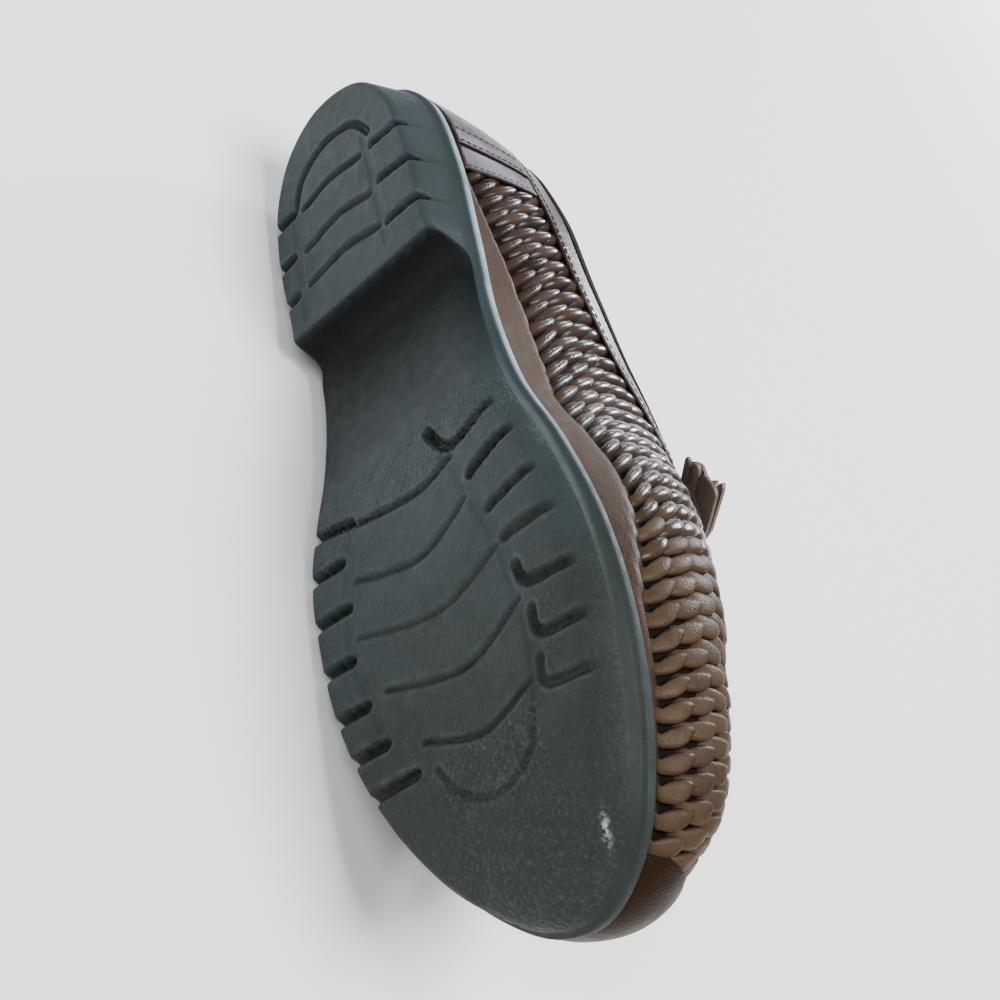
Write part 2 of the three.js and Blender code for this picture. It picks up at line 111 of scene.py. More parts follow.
class Spot(NamedTuple):
    """A rubbed spot of the tread: its middle, length, width, slant and strength."""

    x: float
    y: float
    length: float
    width: float
    slant: float
    strength: float

    def at(self, x: Array, y: Array) -> Array:
        """Its strength at places of the tread.

        Args:
            x: places along the shoe.
            y: places across it.

        Returns:
            The spot's share there, up to its strength.
        """
        ahead = (x - self.x) / self.length
        beside = (y - self.y - self.slant * (x - self.x)) / self.width
        return self.strength * np.exp(-(ahead**2) - beside**2)


# Heights along the shoe
PROFILE = (
    Station(0, 12, 21, 104),
    Station(60, 12, 20, 104),
    Station(95, 11.5, 19.5, 104),
    Station(130, 8, 18, 108),
    Station(150, 3.6, 16.4, 106),
    Station(166, 0.8, 15, 100.5),
    Station(182, 0, 14, 93),
    Station(205, 0, 13.5, 82.5),
    Station(230, 0, 13.8, 72.5),
    Station(250, 0.8, 14.6, 63),
    Station(275, 3.8, 17, 58),
    Station(302, 9.5, 21, 56),
)
# The sole's outline, from the heel along the inner side to the toe and back
OUTLINE = (
    (-2, 3), (5, -19), (24, -31), (55, -34.5), (90, -32.5), (120, -30.5), (150, -33.5), (180, -42),
    (210, -46.5), (240, -45), (268, -37), (288, -24.5), (300, -5), (297.5, 11), (285, 26.5), (265, 40),
    (240, 50.5), (212, 57), (180, 57), (150, 52), (115, 45), (80, 42.5), (50, 41.5), (24, 36), (5, 22),
)
# The opening's top edge from the side, x and z
TOPLINE = ((-14, 73), (12, 70), (45, 66), (78, 69.5), (106, 79), (130, 91), (146, 101), (151, 118))
# Form of the last's sections, the last three added to the first two within their reaches
SECTIONS = {
    "waist": Section(0.68, 0.18, 0.9),
    "ball": Section(0.62, 0.19, 1.0),
    "heel": Section(0.44, -0.13, 0.0),
    "toe": Section(0.18, 0.02, 0.2),
    "tip": Section(0.0, -0.14, 0.0),
}
REACHES = {"ball": (100, 205), "heel": (5, 70), "toe": (244, 300), "tip": (278, 300)}

# The tread
HEEL_GROOVES = (
    Groove(((41, -16), (43, -28.2)), 3.1, 3.0),
    Groove(((57, -15), (60, -29)), 3.1, 3.0),
    Groove(((75, -14), (77, -28.6)), 3.1, 3.0),
    Groove(((36, 25), (35, 46)), 3.8, 3.2),
    Groove(((53, 29), (53, 48)), 3.8, 3.2),
    Groove(((69, 31), (69, 48)), 3.8, 3.2),
    Groove(((41, -10), (37, 5), (38, 19)), 2.5, 2.0, 0.7),
    Groove(((59, -10), (54, 5), (55, 22)), 2.5, 2.0, 0.7),
    Groove(((74, -10), (69, 6), (69, 24)), 2.5, 2.0, 0.7),
    Groove(((35, -16), (25, -10), (21, 4), (26, 17), (36, 23)), 2.8, 2.2, 0.5),
)
INNER_GROOVES = (
    Groove(((153, -4), (165, -14), (156, -40)), 3.6, 3.0),
    Groove(((178, -17), (170, -48)), 4.0, 3.2),
    Groove(((192, -20), (188, -52)), 3.4, 2.4),
    Groove(((203, -22), (205, -54)), 3.8, 2.0),
    Groove(((213, -23), (220, -27), (223, -54)), 3.6, 2.4),
    Groove(((227, -24), (235, -26), (238, -53)), 3.4, 2.2),
    Groove(((240, -22), (248, -23), (252, -51)), 3.0, 1.6),
)
MIDDLE_GROOVES = (
    Groove(((168, -11), (170, 4), (163, 30)), 2.2, 2.0, 0.8),
    Groove(((184, -13), (190, 8), (181, 34)), 1.7, 1.5, 0.8),
    Groove(((204, -19), (209, 6), (198, 38)), 1.5, 1.2, 0.7),
    Groove(((222, -21), (229, 2), (219, 31)), 1.6, 1.4, 0.7),
    Groove(((244, -17), (248, 2), (240, 22)), 1.6, 1.4, 0.5),
    Groove(((251, -15), (260, -10), (264, 3), (259, 14), (249, 20)), 2.0, 0.9),
)
OUTER_GROOVES = (
    Groove(((161, 32), (151, 60)), 3.8, 3.2),
    Groove(((172, 38), (167, 64)), 3.8, 3.2),
    Groove(((187, 39), (183, 64)), 3.8, 3.2),
    Groove(((203, 42), (199, 66)), 3.8, 3.2),
    Groove(((219, 40), (215, 64)), 3.8, 3.2),
    Groove(((233, 36), (229, 60)), 3.8, 3.0),
    Groove(((246, 28), (243, 56)), 3.8, 2.6),
)
VALLEYS = (
    Groove(((158, -9), (180, -15), (205, -21), (234, -22), (250, -18)), 7.0, 0.7),
    Groove(((163, 31), (182, 36), (203, 40), (233, 33), (248, 24)), 6.0, 0.7),
    Groove(((32, -14), (58, -13), (82, -12)), 4.0, 0.5),
    Groove(((33, 23), (55, 26), (80, 28)), 4.0, 0.5),
)
SPOTS = (Spot(285, -20, 2.8, 0.7, 0.55, 0.8), Spot(178, -45, 4.5, 4.0, 0.0, 0.45))
# Height of the step at the heel's breast, as a share of the arch, by the distance ahead of it
BREAST = ((-0.9, 0), (0, 0.07), (0.6, 0.3), (5.4, 0.94), (7.2, 0.99), (10, 1))
# The sock's section: share of the way out and of its thickness
SOCK = ((0, 0), (0.99, 0), (1, 0.4), (0.995, 0.85), (0.97, 1), (0.7, 0.95), (0.35, 0.93), (0, 0.93))


def smoothstep(x: Array, low: float, high: float) -> Array:
    """Share from 0 at low to 1 at high, flat at both ends."""
    share = np.clip((np.asarray(x, float) - low) / (high - low), 0, 1)
    return share * share * (3 - 2 * share)


def window(x: Array, low: float, full: float, past: float, high: float) -> Array:
    """Share that rises from 0 at low to 1 at full, stays, and falls from past to 0 at high."""
    return smoothstep(x, low, full) * (1 - smoothstep(x, past, high))


def along(xs: Sequence[float], ys: Sequence[float], x: Array) -> Array:
    """Monotone cubic through the rows of a table.

    Args:
        xs: places of the rows, rising.
        ys: values of the rows.
        x: where to read.

    Returns:
        The values at x, held level beyond the table's ends.
    """
    xs, ys = np.asarray(xs, float), np.asarray(ys, float)
    steps = np.diff(ys) / np.diff(xs)
    before, after = steps[:-1], steps[1:]
    total = np.where(before * after > 0, before + after, 1)
    slopes = np.zeros_like(ys)
    slopes[1:-1] = np.where(before * after > 0, 2 * before * after / total, 0)
    x = np.clip(x, xs[0], xs[-1])
    row = np.clip(np.searchsorted(xs, x, side="right") - 1, 0, len(xs) - 2)
    span = xs[row + 1] - xs[row]
    t = (x - xs[row]) / span
    square, cube = t * t, t * t * t
    return (
        (2 * cube - 3 * square + 1) * ys[row]
        + (cube - 2 * square + t) * span * slopes[row]
        + (3 * square - 2 * cube) * ys[row + 1]
        + (cube - square) * span * slopes[row + 1]
    )


def profile(column: str, x: Array) -> Array:
    """One column of the height table at x."""
    return along([row.x for row in PROFILE], [getattr(row, column) for row in PROFILE], x)


def rim_line() -> Array:
    """The sole's outline as a closed line of points, a centripetal curve through OUTLINE.

    Returns:
        The points, the first one again at the end.
    """
    points = np.asarray(OUTLINE, float)
    count = len(points)
    t = np.linspace(0, count, RIM_STEPS + 1)
    start = np.floor(t).astype(int)
    weight = (t - start)[:, None]
    p0, p1, p2, p3 = (points[(start + shift) % count] for shift in (-1, 0, 1, 2))
    spans = ((p0, p1), (p1, p2), (p2, p3))
    d0, d1, d2 = (np.sqrt(np.linalg.norm(b - a, axis=1))[:, None] for a, b in spans)
    t1 = ((p1 - p0) / d0 - (p2 - p0) / (d0 + d1) + (p2 - p1) / d1) * d1
    t2 = ((p2 - p1) / d1 - (p3 - p1) / (d1 + d2) + (p3 - p2) / d2) * d1
    c2 = -3 * p1 + 3 * p2 - 2 * t1 - t2
    c3 = 2 * p1 - 2 * p2 + t1 + t2
    return p1 + t1 * weight + c2 * weight**2 + c3 * weight**3


def spline(points: Sequence[tuple[float, float]], steps: int) -> Array:
    """An open curve through points, with even steps between each two of them.

    Args:
        points: points to pass through.
        steps: steps from each to the next.

    Returns:
        Points of the curve.
    """
    stops = np.asarray(points, float)
    last = len(stops) - 1
    t = np.linspace(0, last, steps * last + 1)
    start = np.minimum(np.floor(t).astype(int), last - 1)
    weight = (t - start)[:, None]
    p0, p1, p2, p3 = (stops[np.clip(start + shift, 0, last)] for shift in (-1, 0, 1, 2))
    v0, v1 = (p2 - p0) / 2, (p3 - p1) / 2
    return (
        (2 * p1 - 2 * p2 + v0 + v1) * weight**3
        + (-3 * p1 + 3 * p2 - 2 * v0 - v1) * weight**2
        + v0 * weight
        + p1
    )


def reach_of(hub: Array, heading: Array, rim: Array) -> Array:
    """Distance from each hub to the rim along its heading.

    Args:
        hub: starting points.
        heading: their directions.
        rim: a closed line of points.

    Returns:
        The distances, 0 where the rim is missed.
    """
    start, edge = rim[:-1], np.diff(rim, axis=0)
    cross = heading[:, None, 0] * edge[None, :, 1] - heading[:, None, 1] * edge[None, :, 0]
    offset = start[None] - hub[:, None]
    safe = np.where(np.abs(cross) < 1e-9, 1, cross)
    distance = (offset[..., 0] * edge[None, :, 1] - offset[..., 1] * edge[None, :, 0]) / safe
    share = (offset[..., 0] * heading[:, None, 1] - offset[..., 1] * heading[:, None, 0]) / safe
    hit = (np.abs(cross) >= 1e-9) & (share >= 0) & (share <= 1) & (distance > 0)
    return np.where(hit, distance, 0).max(axis=1)


@dataclass
class Last:
    """The form that the shoe is built on.

    A place on it is u, a distance round the rim from the heel's hub along the inner side, and share, from 0
    at the feather edge on the sole to 1 at the crest over the middle line.
    """

    gap: float = 0.3
    feather: float = 2.2
    heel_hub: float = 40.0
    toe_hub: float = 244.0
    heel_radius: float = 38.0
    toe_radius: float = 52.0
    axis: float = 4.0
    pitch: float = 0.25
    arc_step: float = 0.5
    levels: int = 160
    coarse_columns: int = 461
    longest_arc: float = 160.0
    shift: float = 0.35
    throat: tuple[float, float] = (105.0, 150.0)
    wall: float = 2.8

    def __post_init__(self) -> None:
        """Works out the columns round the rim and the arc lengths up each of them."""
        self.length = self.toe_hub - self.heel_hub
        self.outer_start = self.length + math.pi * self.toe_radius
        self.heel_start = self.outer_start + self.length
        self.girth = self.heel_start + math.pi * self.heel_radius
        self.rim = rim_line()
        self.u = np.linspace(0, self.girth, round(self.girth / self.pitch), endpoint=False)
        self.table = self._columns(self.u)
        self._measure_arcs()

    def _columns(self, u: Array) -> dict[str, Array]:
        """Hub, heading, reach, heights and section of the columns at u.

        Args:
            u: places round the rim.

        Returns:
            The figures by name, each as long as u.
        """
        toe = -math.pi / 2 + (u - self.length) / self.toe_radius
        heel = math.pi / 2 + (u - self.heel_start) / self.heel_radius
        stretch = [u < self.length, u < self.outer_start, u < self.heel_start]
        hubs = [self.heel_hub + u, self.toe_hub, self.toe_hub - (u - self.outer_start)]
        hub_x = np.select(stretch, hubs, self.heel_hub)
        head_x = np.select(stretch, [0 * u, np.cos(toe), 0 * u], np.cos(heel))
        head_y = np.select(stretch, [0 * u - 1, np.sin(toe), 0 * u + 1], np.sin(heel))
        hub = np.stack([hub_x, self.middle(hub_x)], -1)
        heading = np.stack([head_x, head_y], -1)
        reach = reach_of(hub, heading, self.rim)
        rim_x = hub_x + head_x * reach
        table = {"hub_x": hub_x, "hub_y": hub[:, 1], "head_x": head_x, "head_y": head_y, "reach": reach,
                 "rim_x": rim_x, "foot": profile("rim", rim_x) + self.gap, "crest": profile("crest", hub_x)}
        to_ball = smoothstep(hub_x, *REACHES["ball"])
        ends = {"heel": 1 - smoothstep(rim_x, *REACHES["heel"]), "toe": smoothstep(rim_x, *REACHES["toe"]),
                "tip": smoothstep(rim_x, *REACHES["tip"])}
        for figure in Section._fields:
            waist, front = (getattr(SECTIONS[name], figure) for name in ("waist", "ball"))
            added = sum(getattr(SECTIONS[name], figure) * share for name, share in ends.items())
            table[figure] = waist + (front - waist) * to_ball + added
        return table

    def _measure_arcs(self) -> None:
        """Arc lengths up the columns, and the shares at even arc lengths."""
        self.coarse = np.linspace(0, self.girth, self.coarse_columns)
        self.shares = np.linspace(0, 1, self.levels + 1)
        grid = self.point(self.coarse[:, None], self.shares[None, :])
        steps = np.linalg.norm(np.diff(grid, axis=1), axis=2)
        self.arcs = np.concatenate([np.zeros((len(self.coarse), 1)), np.cumsum(steps, axis=1)], axis=1)
        marks = np.arange(0, self.longest_arc, self.arc_step)
        self.share_of_arc = np.stack([np.interp(marks, row, self.shares) for row in self.arcs])

    def middle(self, x: Array) -> Array:
        """y of the middle line at x.

        Args:
            x: places along the shoe.

        Returns:
            y half-way between the sole's edges, held level beyond the hubs.
        """
        marks = np.linspace(self.heel_hub, self.toe_hub, 103)
        hub = np.stack([marks, np.full_like(marks, self.axis)], -1)
        inner, outer = (reach_of(hub, np.tile((0.0, side), (len(marks), 1)), self.rim) for side in (-1, 1))
        return np.interp(x, marks, self.axis + (outer - inner) / 2)

    def at(self, name: str, u: Array) -> Array:
        """One figure of the columns at u."""
        return np.interp(u, self.u, self.table[name], period=self.girth)

    def out(self, u: Array, distance: Array, z: Array | float) -> Array:
        """Points this far from the hubs of the columns at u, at height z.

        Args:
            u: places round the rim.
            distance: distances from the hubs.
            z: heights.

        Returns:
            Points in the shoe's frame.
        """
        x = self.at("hub_x", u) + self.at("head_x", u) * distance
        y = self.at("hub_y", u) + self.at("head_y", u) * distance
        return np.stack(np.broadcast_arrays(x, y, z), -1)

    def point(self, u: Array, share: Array) -> Array:
        """Points of the last.

        Args:
            u: places round the rim.
            share: places up the last, from 0 to 1.

        Returns:
            Points in the shoe's frame.
        """
        u, share = np.broadcast_arrays(np.asarray(u, float), np.asarray(share, float))
        angle = np.clip(share, 0, 1) * math.pi / 2
        bow = 1 + self.at("bulge", u) * np.sin(2 * angle)
        spread = np.clip(np.cos(angle), 0, 1) ** self.at("fullness", u) * bow
        foot, crest = self.at("foot", u), self.at("crest", u)
        distance = (self.at("reach", u) - self.feather) * spread
        return self.out(u, distance, foot + (crest - foot) * np.sin(angle) ** self.at("rise", u))

    def normal(self, u: Array, share: Array) -> Array:
        """Outward directions of the last.

        Args:
            u: places round the rim.
            share: places up the last, from 0 to 1.

        Returns:
            Directions of length 1.
        """
        side, step = 0.4, 0.006
        level = np.clip(share, step, 1 - step)
        round_it = self.point(u + side, level) - self.point(u - side, level)
        up = self.point(u, level + step) - self.point(u, level - step)
        cross = np.cross(round_it, up)
        return cross / np.maximum(np.linalg.norm(cross, axis=-1, keepdims=True), 1e-9)

    def skin(self, u: Array, share: Array, lift: Array | float) -> Array:
        """Points this far outside the last."""
        u, share = np.broadcast_arrays(np.asarray(u, float), np.asarray(share, float))
        return self.point(u, share) + self.normal(u, share) * np.asarray(lift, float)[..., None]

    def share_at_height(self, u: Array, z: Array) -> Array:
        """The share where the columns at u reach height z.

        Args:
            u: places round the rim.
            z: heights.

        Returns:
            Shares from 0 to 1.
        """
        foot, crest = self.at("foot", u), self.at("crest", u)
        level = np.clip((z - foot) / (crest - foot), 0, 1)
        return np.arcsin(level ** (1 / self.at("rise", u))) * 2 / math.pi

    def _bilinear(self, grid: Array, u: Array, column: Array) -> Array:
        """Reads a grid whose rows go round the rim.

        Args:
            grid: values, rows round the rim.
            u: places round the rim.
            column: places along the rows.

        Returns:
            The values there.
        """
        row = np.mod(u, self.girth) / self.girth * (len(self.coarse) - 1)
        i = np.clip(row.astype(int), 0, len(self.coarse) - 2)
        column = np.clip(column, 0, grid.shape[1] - 1.001)
        j = column.astype(int)
        a, b = row - i, column - j
        low = grid[i, j] * (1 - b) + grid[i, j + 1] * b
        high = grid[i + 1, j] * (1 - b) + grid[i + 1, j + 1] * b
        return low * (1 - a) + high * a

    def arc_at(self, u: Array, share: Array) -> Array:
        """Distance up the column from the feather edge."""
        u, share = np.broadcast_arrays(np.asarray(u, float), np.asarray(share, float))
        return self._bilinear(self.arcs, u, share * self.levels)

    def share_at_arc(self, u: Array, arc: Array) -> Array:
        """The share at a distance up the column."""
        u, arc = np.broadcast_arrays(np.asarray(u, float), np.asarray(arc, float))
        return self._bilinear(self.share_of_arc, u, arc / self.arc_step)

    def topline(self, drop: float = 0.0) -> Array:
        """Top edge of the opening seen from the side, or a line this far under it.

        Args:
            drop: how far under the edge.

        Returns:
            Points, x and z.
        """
        line = spline(TOPLINE, 40)
        line[:, 0] += drop * self.shift * smoothstep(line[:, 0], *self.throat)
        line[:, 1] -= drop
        return line

    def top_share(self, u: Array, drop: float = 0.0) -> Array:
        """The share where each column meets the top edge, or 1 where it runs on to the crest.

        Args:
            u: places round the rim.
            drop: how far under the edge.

        Returns:
            Shares from 0 to 1.
        """
        line = self.topline(drop)
        shares = np.linspace(0.2, 1, 240)
        points = self.point(np.asarray(u)[:, None], shares[None])
        over = points[..., 2] - np.interp(points[..., 0], line[:, 0], line[:, 1], right=FAR)
        crossed = over >= 0
        first = np.clip(np.argmax(crossed, axis=1), 1, None)
        rows = np.arange(len(first))
        low, high = over[rows, first - 1], over[rows, first]
        share = shares[first - 1] + (shares[1] - shares[0]) * low / np.minimum(low - high, -1e-9)
        return np.where(crossed.any(axis=1), np.clip(share, 0, 1), 1.0)

    def inner_u(self, x: Array) -> Array:
        """u of the column at x on the inner side."""
        return np.asarray(x, float) - self.heel_hub

    def outer_u(self, x: Array) -> Array:
        """u of the column at x on the outer side."""
        return self.outer_start + self.toe_hub - np.asarray(x, float)

    def opening_loop(self, drop: float, count: int) -> tuple[Array, Array]:
        """The top edge from the throat along the outer side, round the heel and back along the inner side.

        Args:
            drop: how far under the edge.
            count: points along it.

        Returns:
            u and share of the points, evenly spaced along the edge.
        """
        line = self.topline(drop)
        front = line[np.argmax(line[:, 1] >= profile("crest", line[:, 0])), 0]
        u = np.arange(float(self.outer_u(front)), self.girth + float(self.inner_u(front)), self.pitch)
        share = self.top_share(u, drop)
        share[[0, -1]] = 1.0
        steps = np.linalg.norm(np.diff(self.point(u, share), axis=0), axis=1)
        run = np.concatenate([[0], np.cumsum(steps)])
        even = np.linspace(0, run[-1], count)
        return np.interp(even, run, u), np.interp(even, run, share)

    def from_plan(self, x: Array, y: Array) -> tuple[Array, Array]:
        """u and share of the upper surface over places seen from above.

        Args:
            x: places along the shoe.
            y: places across it.

        Returns:
            u and share, in the layout of x.
        """
        offset = y - self.middle(x)
        ahead = np.maximum(x - self.toe_hub, 0)
        angle = np.arctan2(offset, ahead)
        straight = np.where(offset < 0, self.inner_u(x), self.outer_u(x))
        fan = self.length + (angle + math.pi / 2) * self.toe_radius
        u = np.where(x > self.toe_hub, fan, straight)
        distance = np.hypot(offset, ahead)
        shares = np.linspace(0.45, 1, 200)
        points = self.point(u.ravel()[:, None], shares[None])
        hub = np.stack([self.at("hub_x", u.ravel()), self.at("hub_y", u.ravel())], -1)
        spread = np.linalg.norm(points[..., :2] - hub[:, None], axis=-1)
        share = [np.interp(d, row[::-1], shares[::-1]) for d, row in zip(distance.ravel(), spread)]
        return u, np.asarray(share).reshape(u.shape)


class Placement:
    """Lays the shoe's frame in the row frame, from the record's two places on the tread."""

    HEEL_TREAD = (47.0, 5.0, 0.0)
    FOREFOOT_TREAD = (199.0, 8.0, 0.0)

    def __init__(self, record: dict) -> None:
        """Works out the turn and the shift.

        Args:
            record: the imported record, whose mounts lie on the tread.
        """
        mounts = {mount["name"]: mount for mount in record["mounts"]}
        heel, front = (np.asarray(mounts[name]["pos_m"]) for name in ("heel_tread", "forefoot_tread"))
        up = -np.asarray(mounts["heel_tread"]["axis"], float)
        up /= np.linalg.norm(up)
        ahead = front - heel
        ahead -= up * (ahead @ up)
        ahead /= np.linalg.norm(ahead)
        run = np.asarray(self.FOREFOOT_TREAD) - np.asarray(self.HEEL_TREAD)
        run /= np.linalg.norm(run)
        here = np.stack([run, np.cross((0, 0, 1), run), (0, 0, 1)], 1)
        there = np.stack([ahead, np.cross(up, ahead), up], 1)
        self.turn = there @ here.T
        self.origin = heel - self.turn @ (np.asarray(self.HEEL_TREAD) * MM)

    def points(self, shoe: Array) -> Array:
        """Points of the shoe's frame, in millimetres, as points of the row frame, in metres."""
        return np.asarray(shoe, float) * MM @ self.turn.T + self.origin

    def direction(self, shoe: Sequence[float]) -> Vector:
        """A direction of the shoe's frame in the row frame."""
        return Vector(self.turn @ np.asarray(shoe, float))


class Nodes:
    """A material's node tree, with short calls for the nodes that the finishes use."""

    def __init__(self, name: str) -> None:
        """Starts a material.

        Args:
            name: its name.
        """
        self.material = bpy.data.materials.new(name)
        self.material.use_nodes = True
        self.tree = self.material.node_tree
        self.shader = self.tree.nodes["Principled BSDF"]
        self.place = self.tree.nodes.new("ShaderNodeTexCoord").outputs["Object"]

    def _put(self, socket: bpy.types.NodeSocket, value: object) -> None:
        """Links a socket to another one, or sets its number or colour.

        Args:
            socket: the socket to set.
            value: another socket, a colour or a number.
        """
        if isinstance(value, bpy.types.NodeSocket):
            self.tree.links.new(value, socket)
        elif isinstance(value, tuple):
            socket.default_value = (*value, 1.0)
        else:
            socket.default_value = value

    def set(self, **values: object) -> None:
        """Sets sockets of the shader by name, an underscore for each space."""
        for name, value in values.items():
            self._put(self.shader.inputs[name.replace("_", " ")], value)

    def noise(self, scale: float, detail: float = 3.0, rough: float = 0.5) -> bpy.types.NodeSocket:
        """Noise on Object coordinates, with features about 1 / scale metres wide.

        Args:
            scale: features in a metre.
            detail: octaves.
            rough: strength of finer octaves.

        Returns:
            The noise, from 0 to 1.
        """
        node = self.tree.nodes.new("ShaderNodeTexNoise")
        self._put(node.inputs["Vector"], self.place)
        for name, value in (("Scale", scale), ("Detail", detail), ("Roughness", rough)):
            node.inputs[name].default_value = value
        return node.outputs["Fac"]

    def cells(self, scale: float) -> bpy.types.NodeSocket:
        """Distances in a field of cells about 1 / scale metres wide.

        Args:
            scale: cells in a metre.

        Returns:
            Distance to the nearest cell's middle.
        """
        node = self.tree.nodes.new("ShaderNodeTexVoronoi")
        self._put(node.inputs["Vector"], self.place)
        node.inputs["Scale"].default_value = scale
        return node.outputs["Distance"]

    def attribute(self, name: str) -> bpy.types.NodeSocket:
        """A figure stored on the mesh.

        Args:
            name: the figure's name.

        Returns:
            The figure, 0 where it isn't stored.
        """
        node = self.tree.nodes.new("ShaderNodeAttribute")
        node.attribute_name = name
        return node.outputs["Fac"]

    def math(self, kind: str, a: object, b: object) -> bpy.types.NodeSocket:
        """One sum on two values.

        Args:
            kind: the operation.
            a: first value.
            b: second value.

        Returns:
            The result.
        """
        node = self.tree.nodes.new("ShaderNodeMath")
        node.operation = kind
        self._put(node.inputs[0], a)
        self._put(node.inputs[1], b)
        return node.outputs[0]

    def spread(self, value: object, low: float, high: float, to_low: float = 0.0,
               to_high: float = 1.0) -> bpy.types.NodeSocket:
        """A value carried from one range to another, held at the ends.

        Args:
            value: the value.
            low: start of its range.
            high: end of its range.
            to_low: start of the new range.
            to_high: end of the new range.

        Returns:
            The new value.
        """
        node = self.tree.nodes.new("ShaderNodeMapRange")
        self._put(node.inputs["Value"], value)
        for name, number in (("From Min", low), ("From Max", high), ("To Min", to_low), ("To Max", to_high)):
            node.inputs[name].default_value = number
        return node.outputs["Result"]

    def mix(self, share: object, a: object, b: object) -> bpy.types.NodeSocket:
        """Two colours mixed.

        Args:
            share: share of the second colour.
            a: first colour.
            b: second colour.

        Returns:
            The mixed colour.
        """
        node = self.tree.nodes.new("ShaderNodeMix")
        node.data_type = "RGBA"
        self._put(node.inputs["Factor"], share)
        self._put(node.inputs[6], a)
        self._put(node.inputs[7], b)
        return node.outputs[2]

    def bump(self, height: object, depth: float,
             under: bpy.types.NodeSocket | None = None) -> bpy.types.NodeSocket:
        """A bumped normal, depth in metres, on top of another one.

        Args:
            height: height, from 0 to 1.
            depth: what a height of 1 stands for, in metres.
            under: the normal to start from, if any.

        Returns:
            The bumped normal.
        """
        node = self.tree.nodes.new("ShaderNodeBump")
        self._put(node.inputs["Height"], height)
        node.inputs["Distance"].default_value = depth
        node.inputs["Strength"].default_value = 1.0
        if under is not None:
            self._put(node.inputs["Normal"], under)
        return node.outputs["Normal"]


@dataclass(frozen=True)
class LeatherFinish:
    """Polished leather: two tones that drift into each other, fine grain, and a worn, dulled share.

    The drift, patches, gloss, grain and creases are features a metre divided by their figure wide.
    """

    name: str
    dark: Colour
    light: Colour
    worn: Colour = (0.08, 0.06, 0.05)
    # Colour mixed in where the mesh marks painted shade
    shade_colour: Colour = (0.006, 0.004, 0.0035)
    roughness: tuple[float, float] = (0.26, 0.44)
    coat: float = 0.0
    drift: float = 45.0
    patch: float = 260.0
    gloss: float = 180.0
    grain: float = 1500.0
    grain_depth: float = 0.00012
    crease: float = 330.0
    crease_depth: float = 0.0003
    specular: float = 0.3
    coat_roughness: float = 0.18

    def material(self) -> bpy.types.Material:
        """Builds the material. It reads tone, worn and painted shade from the mesh where they are stored.

        Returns:
            The new material.
        """
        n = Nodes(self.name)
        drift = n.noise(self.drift, 4.0, 0.6)
        own = n.math("MULTIPLY", n.attribute("tone"), 0.6)
        tone = n.math("ADD", n.math("MULTIPLY", drift, 0.7), own)
        colour = n.mix(n.spread(tone, 0.25, 0.85), self.dark, self.light)
        patches = n.spread(n.noise(self.patch, 5.0, 0.7), 0.32, 0.62, 0.25)
        dulled = n.math("MULTIPLY", n.attribute("worn"), patches)
        colour = n.mix(dulled, colour, self.worn)
        # Painted shade: darker and rougher where the mesh marks it
        colour = n.mix(n.attribute("painted_shade"), colour, self.shade_colour)
        low, high = self.roughness
        rough = n.spread(n.noise(self.gloss, 4.0, 0.6), 0.3, 0.7, low, high)
        rough = n.math("ADD", rough, n.math("MULTIPLY", n.attribute("painted_shade"), 0.5))
        creases = n.bump(n.noise(self.crease), self.crease_depth)
        pores = n.bump(n.cells(self.grain), self.grain_depth, creases)
        n.set(Base_Color=colour, Roughness=rough, Normal=pores, Coat_Weight=self.coat,
              Coat_Roughness=self.coat_roughness, Specular_IOR_Level=self.specular)
        return n.material


